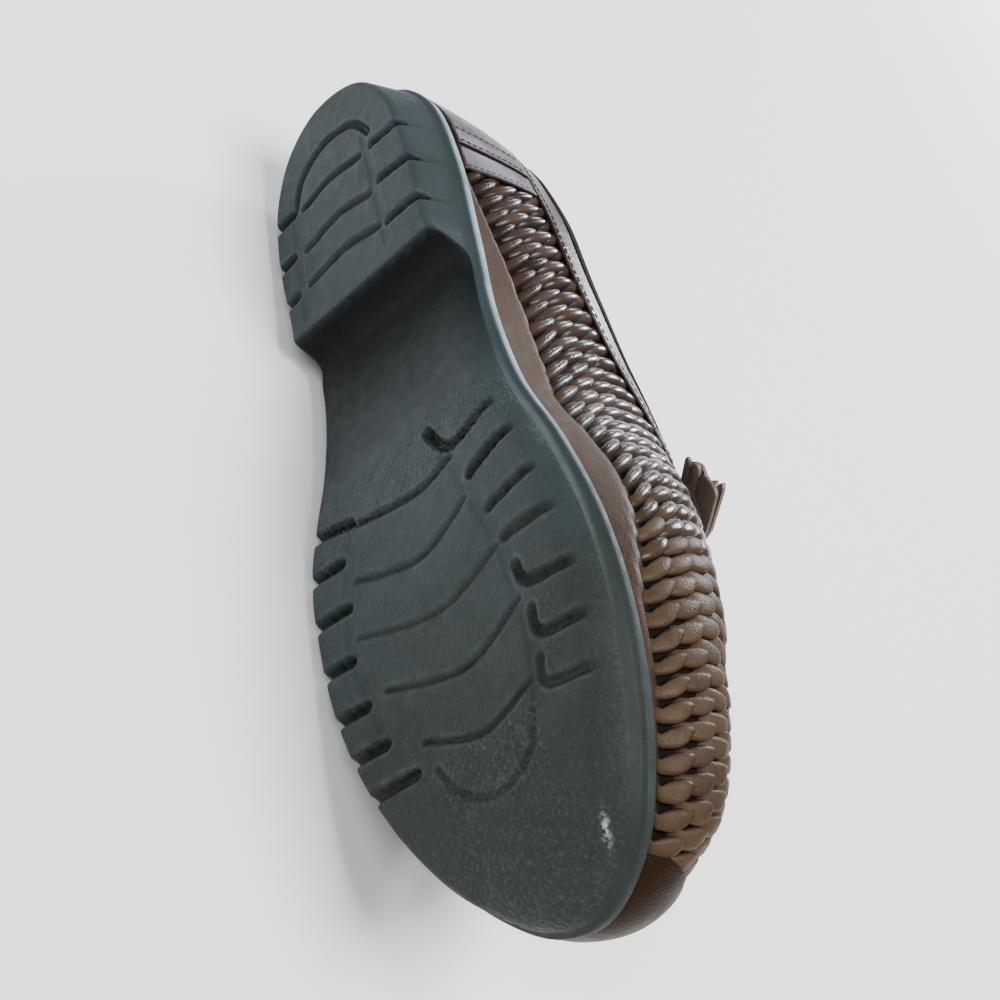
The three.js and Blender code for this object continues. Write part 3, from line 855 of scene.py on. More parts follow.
@dataclass(frozen=True)
class RubberFinish:
    """Moulded rubber: dark grey-green that drifts to blue, pebbled where the mesh says, dusty where worn."""

    green: Colour = (0.0150, 0.0190, 0.0165)
    blue: Colour = (0.0250, 0.0345, 0.0385)
    # Colour of the painted shade in the grooves, at the heel's breast and over the waist
    shade_colour: Colour = (0.0015, 0.002, 0.002)
    dust: Colour = (0.065, 0.080, 0.080)
    # Colour of the painted bluish highlight along the lip
    edge: Colour = (0.28, 0.36, 0.42)
    pale: Colour = (0.60, 0.64, 0.66)
    roughness: tuple[float, float] = (0.46, 0.66)
    drift: float = 38.0
    speckle: float = 900.0
    # Scale of the noise that breaks up the painted lip highlight
    patch: float = 120.0
    highlight_breakup: float = 75.0
    scratch: float = 700.0
    gloss: float = 210.0
    pebble: float = 760.0
    pebble_depth: float = 0.0005
    grain: float = 1500.0
    grain_depth: float = 0.00012
    specular: float = 0.12

    def material(self) -> bpy.types.Material:
        """Builds the material from the mesh's blue, pebble, worn, scuff, painted lip highlight and painted
        shade.

        Returns:
            The new material.
        """
        n = Nodes("moulded_rubber")
        drift = n.spread(n.noise(self.drift, 4.0, 0.6), 0.35, 0.65, -0.25, 0.25)
        colour = n.mix(n.math("ADD", n.attribute("blue"), drift), self.green, self.blue)
        # Painted shade: darkens the grooves' bottoms, the heel's breast and the waist
        colour = n.mix(n.attribute("painted_shade"), colour, self.shade_colour)
        speckle = n.spread(n.noise(self.speckle, 3.0, 0.7), 0.5, 0.75)
        patches = n.spread(n.noise(self.patch, 5.0, 0.7), 0.4, 0.7)
        dusty = n.math("MULTIPLY", n.math("MULTIPLY", n.attribute("pebble"), speckle), 0.6)
        colour = n.mix(dusty, colour, self.dust)
        worn = n.math("MULTIPLY", n.attribute("worn"), patches)
        colour = n.mix(worn, colour, self.dust)
        # A painted bluish highlight along the lip, broken up by noise
        broken_highlight = n.spread(n.noise(self.highlight_breakup, 5.0, 0.7), 0.3, 0.65, 0.35)
        colour = n.mix(n.math("MULTIPLY", n.attribute("lip"), broken_highlight), colour, self.edge)
        scratch = n.spread(n.noise(self.scratch, 4.0, 0.8), 0.45, 0.62)
        colour = n.mix(n.math("MULTIPLY", n.attribute("scuff"), scratch), colour, self.pale)
        rough = n.spread(n.noise(self.gloss, 4.0, 0.6), 0.3, 0.7, *self.roughness)
        pebbles = n.math("MULTIPLY", n.cells(self.pebble), n.attribute("pebble"))
        grain = n.bump(n.noise(self.grain, 3.0, 0.6), self.grain_depth)
        normal = n.bump(pebbles, self.pebble_depth, grain)
        n.set(Base_Color=colour, Roughness=rough, Normal=normal, Specular_IOR_Level=self.specular)
        return n.material


WOVEN = LeatherFinish("woven_strip", (0.015, 0.0080, 0.0060), (0.051, 0.0310, 0.0225),
                      (0.051, 0.0345, 0.021), roughness=(0.16, 0.26), grain_depth=0.00002,
                      crease_depth=0.00004)
SATIN = LeatherFinish("satin_strip", (0.0125, 0.0070, 0.0049), (0.043, 0.0255, 0.0168),
                      (0.044, 0.0295, 0.016), roughness=(0.18, 0.28), grain_depth=0.00004,
                      crease_depth=0.00006, specular=0.13)
WORN = LeatherFinish("worn_strip", (0.016, 0.0084, 0.0050), (0.052, 0.0300, 0.0168), (0.054, 0.0355, 0.0190),
                     roughness=(0.38, 0.55), grain_depth=0.00008, crease_depth=0.0001, specular=0.08)
BAND = LeatherFinish("lower_band", (0.020, 0.0098, 0.0060), (0.055, 0.029, 0.0170), (0.062, 0.038, 0.0210),
                     shade_colour=(0.0015, 0.001, 0.0008), roughness=(0.42, 0.58), grain_depth=0.00006,
                     crease_depth=0.0001, specular=0.10)
SMOOTH = LeatherFinish("smooth_leather", (0.0085, 0.0042, 0.004), (0.026, 0.013, 0.011),
                       roughness=(0.26, 0.42), coat=0.12, grain_depth=0.00008, crease_depth=0.00012)
TOE = LeatherFinish("toe_leather", (0.0085, 0.0042, 0.0020), (0.022, 0.0108, 0.0042), roughness=(0.36, 0.5),
                    crease_depth=0.0001, specular=0.06)
BINDING = LeatherFinish("edge_binding", (0.009, 0.0065, 0.0055), (0.021, 0.0140, 0.0115),
                        roughness=(0.6, 0.8), specular=0.03)
TASSEL = LeatherFinish("tassel_leather", (0.040, 0.027, 0.022), (0.122, 0.086, 0.071), roughness=(0.34, 0.5),
                       crease_depth=0.0001, specular=0.4)
LINING = LeatherFinish("lining_leather", (0.20, 0.13, 0.075), (0.38, 0.27, 0.16), (0.2, 0.14, 0.09),
                       shade_colour=(0.27, 0.19, 0.11), roughness=(0.6, 0.8))
THREAD = LeatherFinish("waxed_thread", (0.030, 0.017, 0.013), (0.065, 0.038, 0.028), roughness=(0.5, 0.7),
                       grain=3000.0)
RUBBER = RubberFinish()


def deselect() -> None:
    """Leaves nothing selected, in object mode."""
    if bpy.context.mode != "OBJECT":
        bpy.ops.object.mode_set(mode="OBJECT")
    bpy.ops.object.select_all(action="DESELECT")


def activate(piece: bpy.types.Object) -> None:
    """Selects one piece alone.

    Args:
        piece: the piece.
    """
    deselect()
    piece.select_set(True)
    bpy.context.view_layer.objects.active = piece


def apply_modifiers(piece: bpy.types.Object) -> None:
    """Applies all of a piece's modifiers in order.

    Args:
        piece: the piece.
    """
    activate(piece)
    for modifier in list(piece.modifiers):
        bpy.ops.object.modifier_apply(modifier=modifier.name)


def merge_seams(piece: bpy.types.Object) -> None:
    """Merges doubled points, so that seams and poles are closed.

    Args:
        piece: the piece.
    """
    activate(piece)
    bpy.ops.object.mode_set(mode="EDIT")
    bpy.ops.mesh.select_all(action="SELECT")
    bpy.ops.mesh.remove_doubles(threshold=MERGE_DISTANCE)
    bpy.ops.mesh.dissolve_degenerate(threshold=MERGE_DISTANCE)
    bpy.ops.object.mode_set(mode="OBJECT")


def turn_outwards(piece: bpy.types.Object) -> None:
    """Recalculates the normals of closed shapes, so that they point outwards.

    Args:
        piece: the piece.
    """
    activate(piece)
    bpy.ops.object.mode_set(mode="EDIT")
    bpy.ops.mesh.select_all(action="SELECT")
    bpy.ops.mesh.normals_make_consistent(inside=False)
    bpy.ops.object.mode_set(mode="OBJECT")


def shade(piece: bpy.types.Object, degrees: float) -> None:
    """Smooth shading, with edges sharper than an angle kept."""
    activate(piece)
    bpy.ops.object.shade_smooth_by_angle(angle=math.radians(degrees))


def thicken(piece: bpy.types.Object, thickness: float, edge: float, degrees: float) -> None:
    """Gives a sheet its thickness outwards and rounds its edges.

    Args:
        piece: the sheet.
        thickness: in millimetres.
        edge: width of the rounding, in millimetres.
        degrees: edges sharper than this are rounded.
    """
    solid = piece.modifiers.new("thickness", "SOLIDIFY")
    solid.thickness = thickness * MM
    solid.offset = 1
    bevel = piece.modifiers.new("edge", "BEVEL")
    bevel.width = edge * MM
    bevel.segments = 2
    bevel.limit_method = "ANGLE"
    bevel.angle_limit = math.radians(degrees)
    apply_modifiers(piece)
    shade(piece, 60)


def store(piece: bpy.types.Object, name: str, values: Array) -> None:
    """Stores one figure for each point of a mesh."""
    layer = piece.data.attributes.new(name, "FLOAT", "POINT")
    layer.data.foreach_set("value", np.ascontiguousarray(values, np.float32).ravel())


def add_grid(name: str, world: Array, figures: dict[str, Array] | None = None) -> bpy.types.Object:
    """Adds a grid primitive and lays it on the points of a surface.

    Args:
        name: the piece's name.
        world: points in the row frame, rows by columns.
        figures: figures to store on the mesh, in the same layout.

    Returns:
        The new object, its faces towards columns cross rows.
    """
    rows, columns = world.shape[:2]
    deselect()
    bpy.ops.mesh.primitive_grid_add(x_subdivisions=columns - 1, y_subdivisions=rows - 1, size=1)
    piece = bpy.context.active_object
    piece.name = piece.data.name = name
    flat = np.empty(len(piece.data.vertices) * 3, np.float32)
    piece.data.vertices.foreach_get("co", flat)
    flat = flat.reshape(-1, 3)
    i = np.rint((flat[:, 0] + 0.5) * (columns - 1)).astype(int)
    j = np.rint((flat[:, 1] + 0.5) * (rows - 1)).astype(int)
    piece.data.vertices.foreach_set("co", np.ascontiguousarray(world[j, i], np.float32).ravel())
    for layer in list(piece.data.uv_layers):
        piece.data.uv_layers.remove(layer)
    for figure, values in (figures or {}).items():
        store(piece, figure, values[j, i])
    piece.data.update()
    return piece


def taken() -> tuple[Array, Faces]:
    """Points and faces of the shape just modelled, to be copied. The shape itself is deleted.

    Returns:
        The points, and the numbers of each face's points.
    """
    piece = bpy.context.active_object
    points = np.array([v.co for v in piece.data.vertices])
    faces = [list(face.vertices) for face in piece.data.polygons]
    bpy.ops.object.delete()
    return points, faces


def ball(segments: int, rings: int) -> tuple[Array, Faces]:
    """Points and faces of a ball of radius 1.

    Args:
        segments: sides round it.
        rings: steps from pole to pole.

    Returns:
        Its points and faces.
    """
    deselect()
    bpy.ops.mesh.primitive_uv_sphere_add(segments=segments, ring_count=rings, radius=1)
    return taken()


def copies(name: str, points: Array, faces: Faces, figures: dict[str, Array]) -> bpy.types.Object:
    """One mesh of many copies of a shape.

    Args:
        name: the piece's name.
        points: points of each copy in the row frame, copies by points.
        faces: the shape's faces.
        figures: one figure for each point of each copy.

    Returns:
        The new object.
    """
    count, each = points.shape[:2]
    every = [[index + copy * each for index in face] for copy in range(count) for face in faces]
    mesh = bpy.data.meshes.new(name)
    mesh.from_pydata(points.reshape(-1, 3).tolist(), [], every)
    piece = bpy.data.objects.new(name, mesh)
    bpy.context.scene.collection.objects.link(piece)
    for figure, values in figures.items():
        store(piece, figure, values)
    mesh.update()
    return piece


def press(piece: bpy.types.Object) -> None:
    """Presses what would dip under the floor flat on it.

    Args:
        piece: the piece.
    """
    spots = np.empty(len(piece.data.vertices) * 3, np.float32)
    piece.data.vertices.foreach_get("co", spots)
    spots[2::3] = np.maximum(spots[2::3], 0)
    piece.data.vertices.foreach_set("co", spots)


def dress(piece: bpy.types.Object, slot: Slot, *materials: bpy.types.Material,
          replaces: Sequence[str] = ()) -> None:
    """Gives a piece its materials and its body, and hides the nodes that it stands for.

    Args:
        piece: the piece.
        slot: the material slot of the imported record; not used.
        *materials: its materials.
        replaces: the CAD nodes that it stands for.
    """
    press(piece)
    for material in materials:
        piece.data.materials.append(material)
    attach(piece, BODY)
    if replaces:
        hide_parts(*replaces)
    LOG.info("%s: %d faces", piece.name, len(piece.data.polygons))


@dataclass
class Finishes:
    """The materials, each made once."""

    rubber: bpy.types.Material = field(default_factory=RUBBER.material)
    woven: bpy.types.Material = field(default_factory=WOVEN.material)
    satin: bpy.types.Material = field(default_factory=SATIN.material)
    worn: bpy.types.Material = field(default_factory=WORN.material)
    toe: bpy.types.Material = field(default_factory=TOE.material)
    band: bpy.types.Material = field(default_factory=BAND.material)
    smooth: bpy.types.Material = field(default_factory=SMOOTH.material)
    binding: bpy.types.Material = field(default_factory=BINDING.material)
    tassel: bpy.types.Material = field(default_factory=TASSEL.material)
    lining: bpy.types.Material = field(default_factory=LINING.material)
    thread: bpy.types.Material = field(default_factory=THREAD.material)


@dataclass
class Sole:
    """Rubber sole with its heel block, tread and rim, and the sock inside the shoe."""

    last: Last
    place: Placement
    finishes: Finishes
    column_pitch: float = 0.78
    tread_rows: int = 74
    tread_inset: float = 2.0
    heel_inset: float = 3.0
    heel_ends: tuple[float, float] = (84.0, 98.0)
    soft_from: tuple[float, float] = (92.0, 104.0)
    fillet_width: float = 11.0
    fillet_height: float = 4.5
    fillet_room: float = 0.55
    tread_round: float = 1.6
    tread_ends: tuple[float, float] = (262.0, 272.0)
    deepest: float = 3.2
    ramp_reach: float = 5.5
    pebbled_from: tuple[float, float] = (144.0, 150.0)
    pebbled_to: tuple[float, float] = (162.0, 172.0)
    bowl: tuple[float, ...] = (246.0, 252.0, 262.0, 268.0)
    bowl_half: float = 18.0
    blue_to: tuple[float, float] = (165.0, 265.0)
    # Where the painted shadow at the breast and over the waist rises and falls, by the distance ahead of the
    # breast
    breast_shade: tuple[float, ...] = (-1.5, 0.5, 6.0, 13.0)
    waist_shade: tuple[float, ...] = (-1.5, 0.5, 10.0, 66.0)
    rim_height: float = 4.0
    rim_step: float = 1.4
    # Where the lip's painted highlight starts up the side, fades towards the toe and fades to the outer side
    lip_highlight_from: tuple[float, float] = (0.68, 0.82)
    lip_highlight_to: tuple[float, float] = (150.0, 215.0)
    lip_highlight_inner: tuple[float, float] = (-22.0, 8.0)
    breast_x: float = 89.0
    breast_skew: float = 6.4
    insole_thickness: float = 3.0
    insole_columns: int = 300

    def build(self) -> None:
        """Builds and dresses the sole and the sock."""
        self._outsole()
        self._insole()

    def _inset(self, u: Array) -> Array:
        """How far the tread's edge lies inside the rim: more under the heel."""
        front = smoothstep(self.last.at("rim_x", u), *self.heel_ends)
        return self.tread_inset + self.heel_inset * (1 - front)

    def _softness(self, u: Array) -> Array:
        """Share of the soft rounding between tread and side: the waist and the inner forefoot."""
        front = smoothstep(self.last.at("rim_x", u), *self.soft_from)
        return front * (1 - 0.75 * smoothstep(self.last.at("head_y", u), -0.2, 0.8))

    def _past_breast(self, x: Array, y: Array) -> Array:
        """Distance ahead of the heel's slanted breast."""
        turn = math.radians(self.breast_skew)
        return (x - self.breast_x) * math.cos(turn) + y * math.sin(turn)

    def _underside(self, u: Array, radial: Array) -> tuple[Array, Array, Array]:
        """Place and height of the plain underside at shares of the way from the hub to the tread's edge.

        Args:
            u: places round the rim.
            radial: shares of the way out.

        Returns:
            x, y and height.
        """
        last = self.last
        edge = last.at("reach", u) - self._inset(u)
        distance = edge * radial
        x, y, _ = np.moveaxis(last.out(u, distance, 0.0), -1, 0)
        middle = profile("under", last.at("hub_x", u))
        outer = profile("under", last.at("rim_x", u))
        arch = middle + (outer - middle) * (0.2 * radial + 0.8 * radial**2)
        near = np.clip(1 - (edge - distance) / self.fillet_width, 0, 1)
        room = last.at("foot", u) - last.gap - self.rim_height - outer
        fillet = np.minimum(self.fillet_height, self.fillet_room * room) * self._softness(u)
        return x, y, (arch + fillet * near**2.2) * along(*zip(*BREAST), self._past_breast(x, y))

    @staticmethod
    def _nearest(line: Array, x: Array, y: Array) -> tuple[Array, Array, Array]:
        """Distance of places to a line, the side of it that they lie on, and the share along it.

        Args:
            line: points of the line.
            x: places along the shoe.
            y: places across it.

        Returns:
            Distance, sign of the side, share.
        """
        best = np.full(x.shape, np.inf)
        side, share = np.zeros_like(x), np.zeros_like(x)
        for k, (a, b) in enumerate(zip(line[:-1], line[1:])):
            run = b - a
            t = np.clip(((x - a[0]) * run[0] + (y - a[1]) * run[1]) / (run @ run), 0, 1)
            dx, dy = x - a[0] - t * run[0], y - a[1] - t * run[1]
            gap = np.hypot(dx, dy)
            near = gap < best
            best = np.where(near, gap, best)
            side = np.where(near, np.sign(run[1] * dx - run[0] * dy), side)
            share = np.where(near, (k + t) / (len(line) - 1), share)
        return best, side, share

    def _groove_depth(self, grooves: Sequence[Groove], x: Array, y: Array) -> tuple[Array, Array, Array]:
        """Depth of the grooves at places of the tread, nearness of their edges, depth of their bottoms.

        Args:
            grooves: the grooves.
            x: places along the shoe.
            y: places across it.

        Returns:
            Depth in millimetres, nearness of an edge, and share of the deepest groove.
        """
        depth, edges, bottoms = np.zeros_like(x), np.zeros_like(x), np.zeros_like(x)
        for groove in grooves:
            line = spline(groove.points, 1 if len(groove.points) == 2 else 8)
            gap, side, share = self._nearest(line, x, y)
            half = groove.width / 2
            cut = groove.depth * (1 - smoothstep(gap, half * 0.35, half + 0.5))
            slope = groove.ramp * np.exp(-gap / self.ramp_reach) * window(share, 0, 0.12, 0.88, 1)
            depth = np.maximum(depth, np.maximum(cut, slope * (side > 0)))
            bottoms = np.maximum(bottoms, cut / self.deepest)
            edge = np.exp(-(((gap - half - 0.7) / 0.6) ** 2))
            edges = np.maximum(edges, edge * min(1, groove.depth / 2))
        return depth, edges, bottoms

    def _outsole(self) -> None:
        """Lays the underside, the side and the top of the sole as one closed skin."""
        last = self.last
        u = np.linspace(0, last.girth, round(last.girth / self.column_pitch) + 1)[None, :]
        radial = np.linspace(0, 1, self.tread_rows)[:, None]
        x, y, z = self._underside(*np.broadcast_arrays(u, radial))
        cuts = HEEL_GROOVES + INNER_GROOVES + MIDDLE_GROOVES + OUTER_GROOVES
        depth, edges, bottoms = self._groove_depth(cuts, x, y)
        valley, _, _ = self._groove_depth(VALLEYS, x, y)
        inside = (1 - radial) * (last.at("reach", u) - self._inset(u))
        soft = self._softness(u)
        fade = (1 - smoothstep(x, *self.tread_ends)) * (1 - soft * (1 - smoothstep(inside, 2.5, 8)))
        rounding = self.tread_round * np.clip((radial - 0.955) / 0.045, 0, 1) ** 2 * (1 - 0.6 * soft)
        tread = np.stack([x, y, z + np.maximum(depth, valley) * fade + rounding], -1)
        side, marks = self._side(u[0], tread[-1])
        points = np.concatenate([tread, side, self._top(u[0])])
        figures = self._figures(points, marks, edges * fade, bottoms * fade)
        figures = {name: values[::-1] for name, values in figures.items()}
        piece = add_grid("outsole_rubber", self.place.points(points[::-1]), figures)
        merge_seams(piece)
        shade(piece, 50)
        dress(piece, Slot.RUBBER, self.finishes.rubber, replaces=["outsole"])

    def _side(self, u: Array, edge: Array) -> tuple[Array, Array]:
        """Rows of the side from the tread's edge to the lip, and each row's share of the way up.

        Args:
            u: places round the rim.
            edge: points of the tread's edge.

        Returns:
            Rows of points, and a share for each row.
        """
        last = self.last
        reach, inset, low = last.at("reach", u), self._inset(u), edge[:, 2]
        neck = last.at("foot", u) - last.gap - self.rim_height
        shares = np.array([0.12, 0.3, 0.5, 0.7, 0.86, 0.95])
        rows = [(reach - inset + (inset - self.rim_step) * t, low + (neck - 0.7 - low) * t) for t in shares]
        lip = ((self.rim_step * 0.9, -0.25), (self.rim_step * 0.35, 0.25), (0.1, 0.65), (0.0, 1.2),
               (0.0, 2.2), (0.1, 3.1), (0.35, 3.65), (0.9, 3.95), (1.8, 4.0))
        rows += [(reach - step, neck + height) for step, height in lip]
        marks = np.concatenate([shares * 0.6, 0.62 + np.linspace(0, 0.38, len(lip))])
        return np.stack([last.out(u, distance, z) for distance, z in rows]), marks

    def _top(self, u: Array) -> Array:
        """The top of the sole, from under the upper to the middle line.

        Args:
            u: places round the rim.

        Returns:
            Rows of points.
        """
        last = self.last
        rim, middle = last.at("foot", u) - last.gap, profile("rim", last.at("hub_x", u))
        shares = (0.85, 0.4, 0.0)
        return np.stack([last.out(u, last.at("reach", u) * t, middle + (rim - middle) * t) for t in shares])

    def _figures(self, points: Array, marks: Array, edges: Array, bottoms: Array) -> dict[str, Array]:
        """Figures for the rubber.

        Args:
            points: the whole skin, the tread's rows first, then the side's.
            marks: shares of the way up of the side's rows.
            edges: nearness of the grooves' edges on the tread.
            bottoms: depth of the grooves' bottoms on the tread.

        Returns:
            Pebbled, bluish, worn and scuffed shares for each point, with the painted lip highlight and
            painted shade.
        """
        x, y = points[..., 0], points[..., 1]
        rows = len(edges)
        on_tread, worn, lip, painted_shade = (np.zeros(x.shape) for _ in range(4))
        on_tread[:rows] = 1
        worn[:rows] = edges * 0.6
        # Groove bottoms darkened by their depth: painted shade
        painted_shade[:rows] = bottoms
        # The lip's upper rows get a painted highlight, strongest on the inner side and fading towards the
        # toe
        lip[rows:rows + len(marks)] = smoothstep(marks, *self.lip_highlight_from)[:, None]
        lip *= (1 - 0.96 * smoothstep(x, *self.lip_highlight_to)) * (1 - 0.7 * smoothstep(y, *self.lip_highlight_inner))
        front = smoothstep(x, *self.pebbled_from)
        start = window(x, *self.pebbled_from, *self.pebbled_to)
        bowl = window(x, *self.bowl) * (np.abs(y - 2) < self.bowl_half)
        toe = smoothstep(x, *self.tread_ends) * (1 - smoothstep(np.abs(y - 4), 12, 34))
        pebble = on_tread * np.clip(0.3 * front + 0.8 * start + 0.9 * bowl + 0.35 * toe, 0.06, 1)
        # The heel's breast and the waist ahead of it are darkened: painted shadow
        ahead = self._past_breast(x, y)
        breast, shadow = window(ahead, *self.breast_shade), window(ahead, *self.waist_shade)
        painted_shade = np.maximum(painted_shade, on_tread * np.maximum(0.95 * breast, 0.9 * shadow))
        scuff = on_tread * sum(spot.at(x, y) for spot in SPOTS)
        blue = 1 - smoothstep(x, *self.blue_to)
        return {"pebble": pebble, "blue": blue, "worn": worn, "lip": lip, "painted_shade": painted_shade, "scuff": scuff}

    def _insole(self) -> None:
        """The sock: a thin leather sheet with a rounded edge, lying on the sole."""
        last = self.last
        u = np.linspace(0, last.girth, self.insole_columns)
        edge = last.at("reach", u) - last.feather - last.wall - 2 * last.gap
        low = last.at("foot", u)
        middle = profile("rim", last.at("hub_x", u)) + last.gap
        grid = []
        for share, height in SOCK:
            z = middle + (low - middle) * share + self.insole_thickness * height
            grid.append(last.out(u, edge * share, z))
        piece = add_grid("insole_sock", self.place.points(np.stack(grid)[::-1]))
        merge_seams(piece)
        shade(piece, 60)
        dress(piece, Slot.LINING, self.finishes.lining, replaces=["insole"])


@dataclass
class Weave:
    """How the lobes of the woven strips lie and are shaped.

    A pair that at() reads is the figure at the back and at the front, between the two places of reach. A
    pair that ends in from is where a change along the shoe starts and where it is whole.
    """

    pitches: Table = ((60, 5.8), (120, 6.2), (165, 6.6), (205, 6.9), (250, 6.9), (300, 6.6))
    row_pitch: tuple[float, float] = (9.4, 8.6)
    length: tuple[float, float] = (16.0, 13.8)
    fill: tuple[float, float] = (0.95, 0.94)
    crown: tuple[float, float] = (2.3, 1.45)
    square: tuple[float, float] = (2.2, 3.2)
    taper: tuple[float, float] = (0.5, 0.5)
    root: tuple[float, float] = (0.5, 0.6)
    boxed: tuple[float, float] = (0.95, 0.46)
    skew: tuple[float, float] = (0.0, 0.45)
    lean: tuple[float, float] = (38.0, 14.0)
    notch: tuple[float, ...] = (0.75, 0.4, 0.0)
    notch_at: float = -0.3
    notch_width: float = 0.32
    notch_from: tuple[float, float] = (150.0, 190.0)
    straighten: float = 6.0
    lift: tuple[float, float] = (-1.6, -1.2)
    rise: float = 0.9
    dive: float = 1.6
    base: float = 2.0
    floor: float = -2.15
    reach: tuple[float, float] = (180.0, 240.0)
    turns: tuple[float, ...] = (0, 38, 74, 106, 142, 180, 270)
    rings: int = 8
    rows: int = 10
    first_row: float = 0.45
    margin: float = -3.5
    jitter: tuple[float, ...] = (0.04, 2.5, 0.04, 0.08)
    lowest: float = 0.2
    # Height range over which a lobe's flanks pass from painted shade to their own colour, and where that
    # shade eases towards the front
    lit: tuple[float, float] = (0.2, 0.86)
    lit_from: tuple[float, float] = (170.0, 220.0)
    worn_from: tuple[float, float] = (150.0, 215.0)
    matte_from: tuple[float, float] = (130.0, 245.0)
    matte_rows: tuple[float, ...] = (0.6, 0.2, 0.0)

    def pitch(self, x: Array) -> Array:
        """Distance between the lobes of a row at places along the shoe."""
        return np.interp(x, *zip(*self.pitches))

    def at(self, figure: str, x: Array) -> Array:
        """One figure at places along the shoe."""
        back, front = getattr(self, figure)
        return back + (front - back) * smoothstep(x, *self.reach)


@dataclass
class Upper:
    """The leather wall with its smooth lower band and its weave."""

    last: Last
    place: Placement
    finishes: Finishes
    weave: Weave = field(default_factory=Weave)
    wall_columns: int = 461
    wall_rows: int = 54
    slack: float = 0.4
    band_worn_from: tuple[float, float] = (90.0, 140.0)
    band_dark_from: tuple[float, float] = (160.0, 205.0)
    collar_height: float = 12.0
    apron_half: float = 27.0
    apron_from: float = 134.0
    apron_to: float = 262.0
    apron_round: float = 34.0
    apron_sway: float = 3.0
    weave_from: float = 52.0
    weave_to: float = 294.0
    band: Table = ((40, 1.5), (60, 2.5), (80, 6.5), (100, 11), (120, 14), (135, 14), (150, 12.5), (166, 13),
                   (180, 14.5), (194, 14), (206, 11.5), (220, 7.5), (235, 4.4), (258, 2.8), (276, 1.2),
                   (302, 0.8))

    def build(self) -> None:
        """Builds and dresses the wall and the weave."""
        self._wall()
        self._lobes()

    def weave_foot(self, u: Array) -> Array:
        """Distance up the column where the smooth lower band ends."""
        z = self.last.at("foot", u) + along(*zip(*self.band), self.last.at("rim_x", u))
        return self.last.arc_at(u, self.last.share_at_height(u, z))

    def apron_line(self, x: Array) -> Array:
        """y of the apron's middle line, which sways to the inner side."""
        middle = self.last.middle(np.full(1, (self.apron_from + self.apron_to) / 2))[0]
        return middle - self.apron_sway * smoothstep(x, self.apron_from, self.apron_to - self.apron_round)

    def depth_in_weave(self, points: Array) -> Array:
        """How far places lie inside the woven part, in millimetres, below zero outside it.

        Args:
            points: places on the last.

        Returns:
            The distances.
        """
        x, y, z = points[..., 0], points[..., 1], points[..., 2]
        line = self.last.topline(self.collar_height)
        under_collar = np.interp(x, line[:, 0], line[:, 1], right=FAR) - z
        ahead = np.maximum(x - self.apron_to + self.apron_round, 0) / self.apron_round
        beside = (y - self.apron_line(x)) / self.apron_half
        off_apron = np.where(x < self.apron_from, FAR, (np.hypot(ahead, beside) - 1) * self.apron_half)
        return np.minimum.reduce([under_collar, off_apron, x - self.weave_from, self.weave_to - x])

    def _wall(self) -> None:
        """Lays the outer skin, sunk under the weave, and gives it its thickness inwards."""
        last = self.last
        u = np.linspace(0, last.girth, self.wall_columns)
        limit = last.top_share(u)
        arc = np.linspace(0, 1, self.wall_rows)[:, None] * last.arc_at(u, limit)[None]
        share = np.minimum(last.share_at_arc(u[None], arc), limit[None])
        points = last.point(u[None], share)
        over = smoothstep(arc - self.weave_foot(u)[None], -0.6, 1.0)
        woven = over * smoothstep(self.depth_in_weave(points), self.weave.margin, 0.5)
        grid = last.skin(u[None], share, -self.weave.base * woven)
        worn = 0.5 * (1 - woven) * window(points[..., 0], *self.band_worn_from, *self.band_dark_from)
        tone = 0.45 - 0.25 * smoothstep(points[..., 0], *self.band_dark_from)
        # Under the weave the sunk skin is darkened nearly to black: painted shade in the gaps between the
        # strips
        figures = {"tone": tone, "worn": worn, "painted_shade": 0.9 * woven}
        piece = add_grid("upper_wall", self.place.points(grid), figures)
        merge_seams(piece)
        for material in (self.finishes.band, self.finishes.lining):
            piece.data.materials.append(material)
        solid = piece.modifiers.new("wall", "SOLIDIFY")
        solid.thickness = (last.wall - self.slack) * MM
        solid.offset = -1
        solid.material_offset = 1
        apply_modifiers(piece)
        shade(piece, 60)
        dress(piece, Slot.WOVEN, replaces=["upper"])

    def _rows(self) -> tuple[Array, Array, Array]:
        """u, distance up and row number of the lobes' middles.

        Returns:
            The three figures, one entry for each lobe.
        """
        weave, last = self.weave, self.last
        fine = np.arange(0, last.girth, 0.5)
        count = np.cumsum(0.5 / weave.pitch(last.at("hub_x", fine)))
        total = 2 * round(count[-1] / 2)
        count *= total / count[-1]
        us, arcs, rows = [], [], []
        for row in range(weave.rows):
            u = np.interp(np.arange(total) + 0.5 * (row % 2), count, fine)
            pitch = weave.at("row_pitch", last.at("hub_x", u))
            arc = self.weave_foot(u) + pitch * (row + weave.first_row)
            keep = arc < last.arc_at(u, np.ones_like(u)) - 2
            points = last.point(u, last.share_at_arc(u, arc))
            keep &= self.depth_in_weave(points) > weave.margin
            us.append(u[keep])
            arcs.append(arc[keep])
            rows.append(np.full(int(keep.sum()), row))
        return np.concatenate(us), np.concatenate(arcs), np.concatenate(rows)

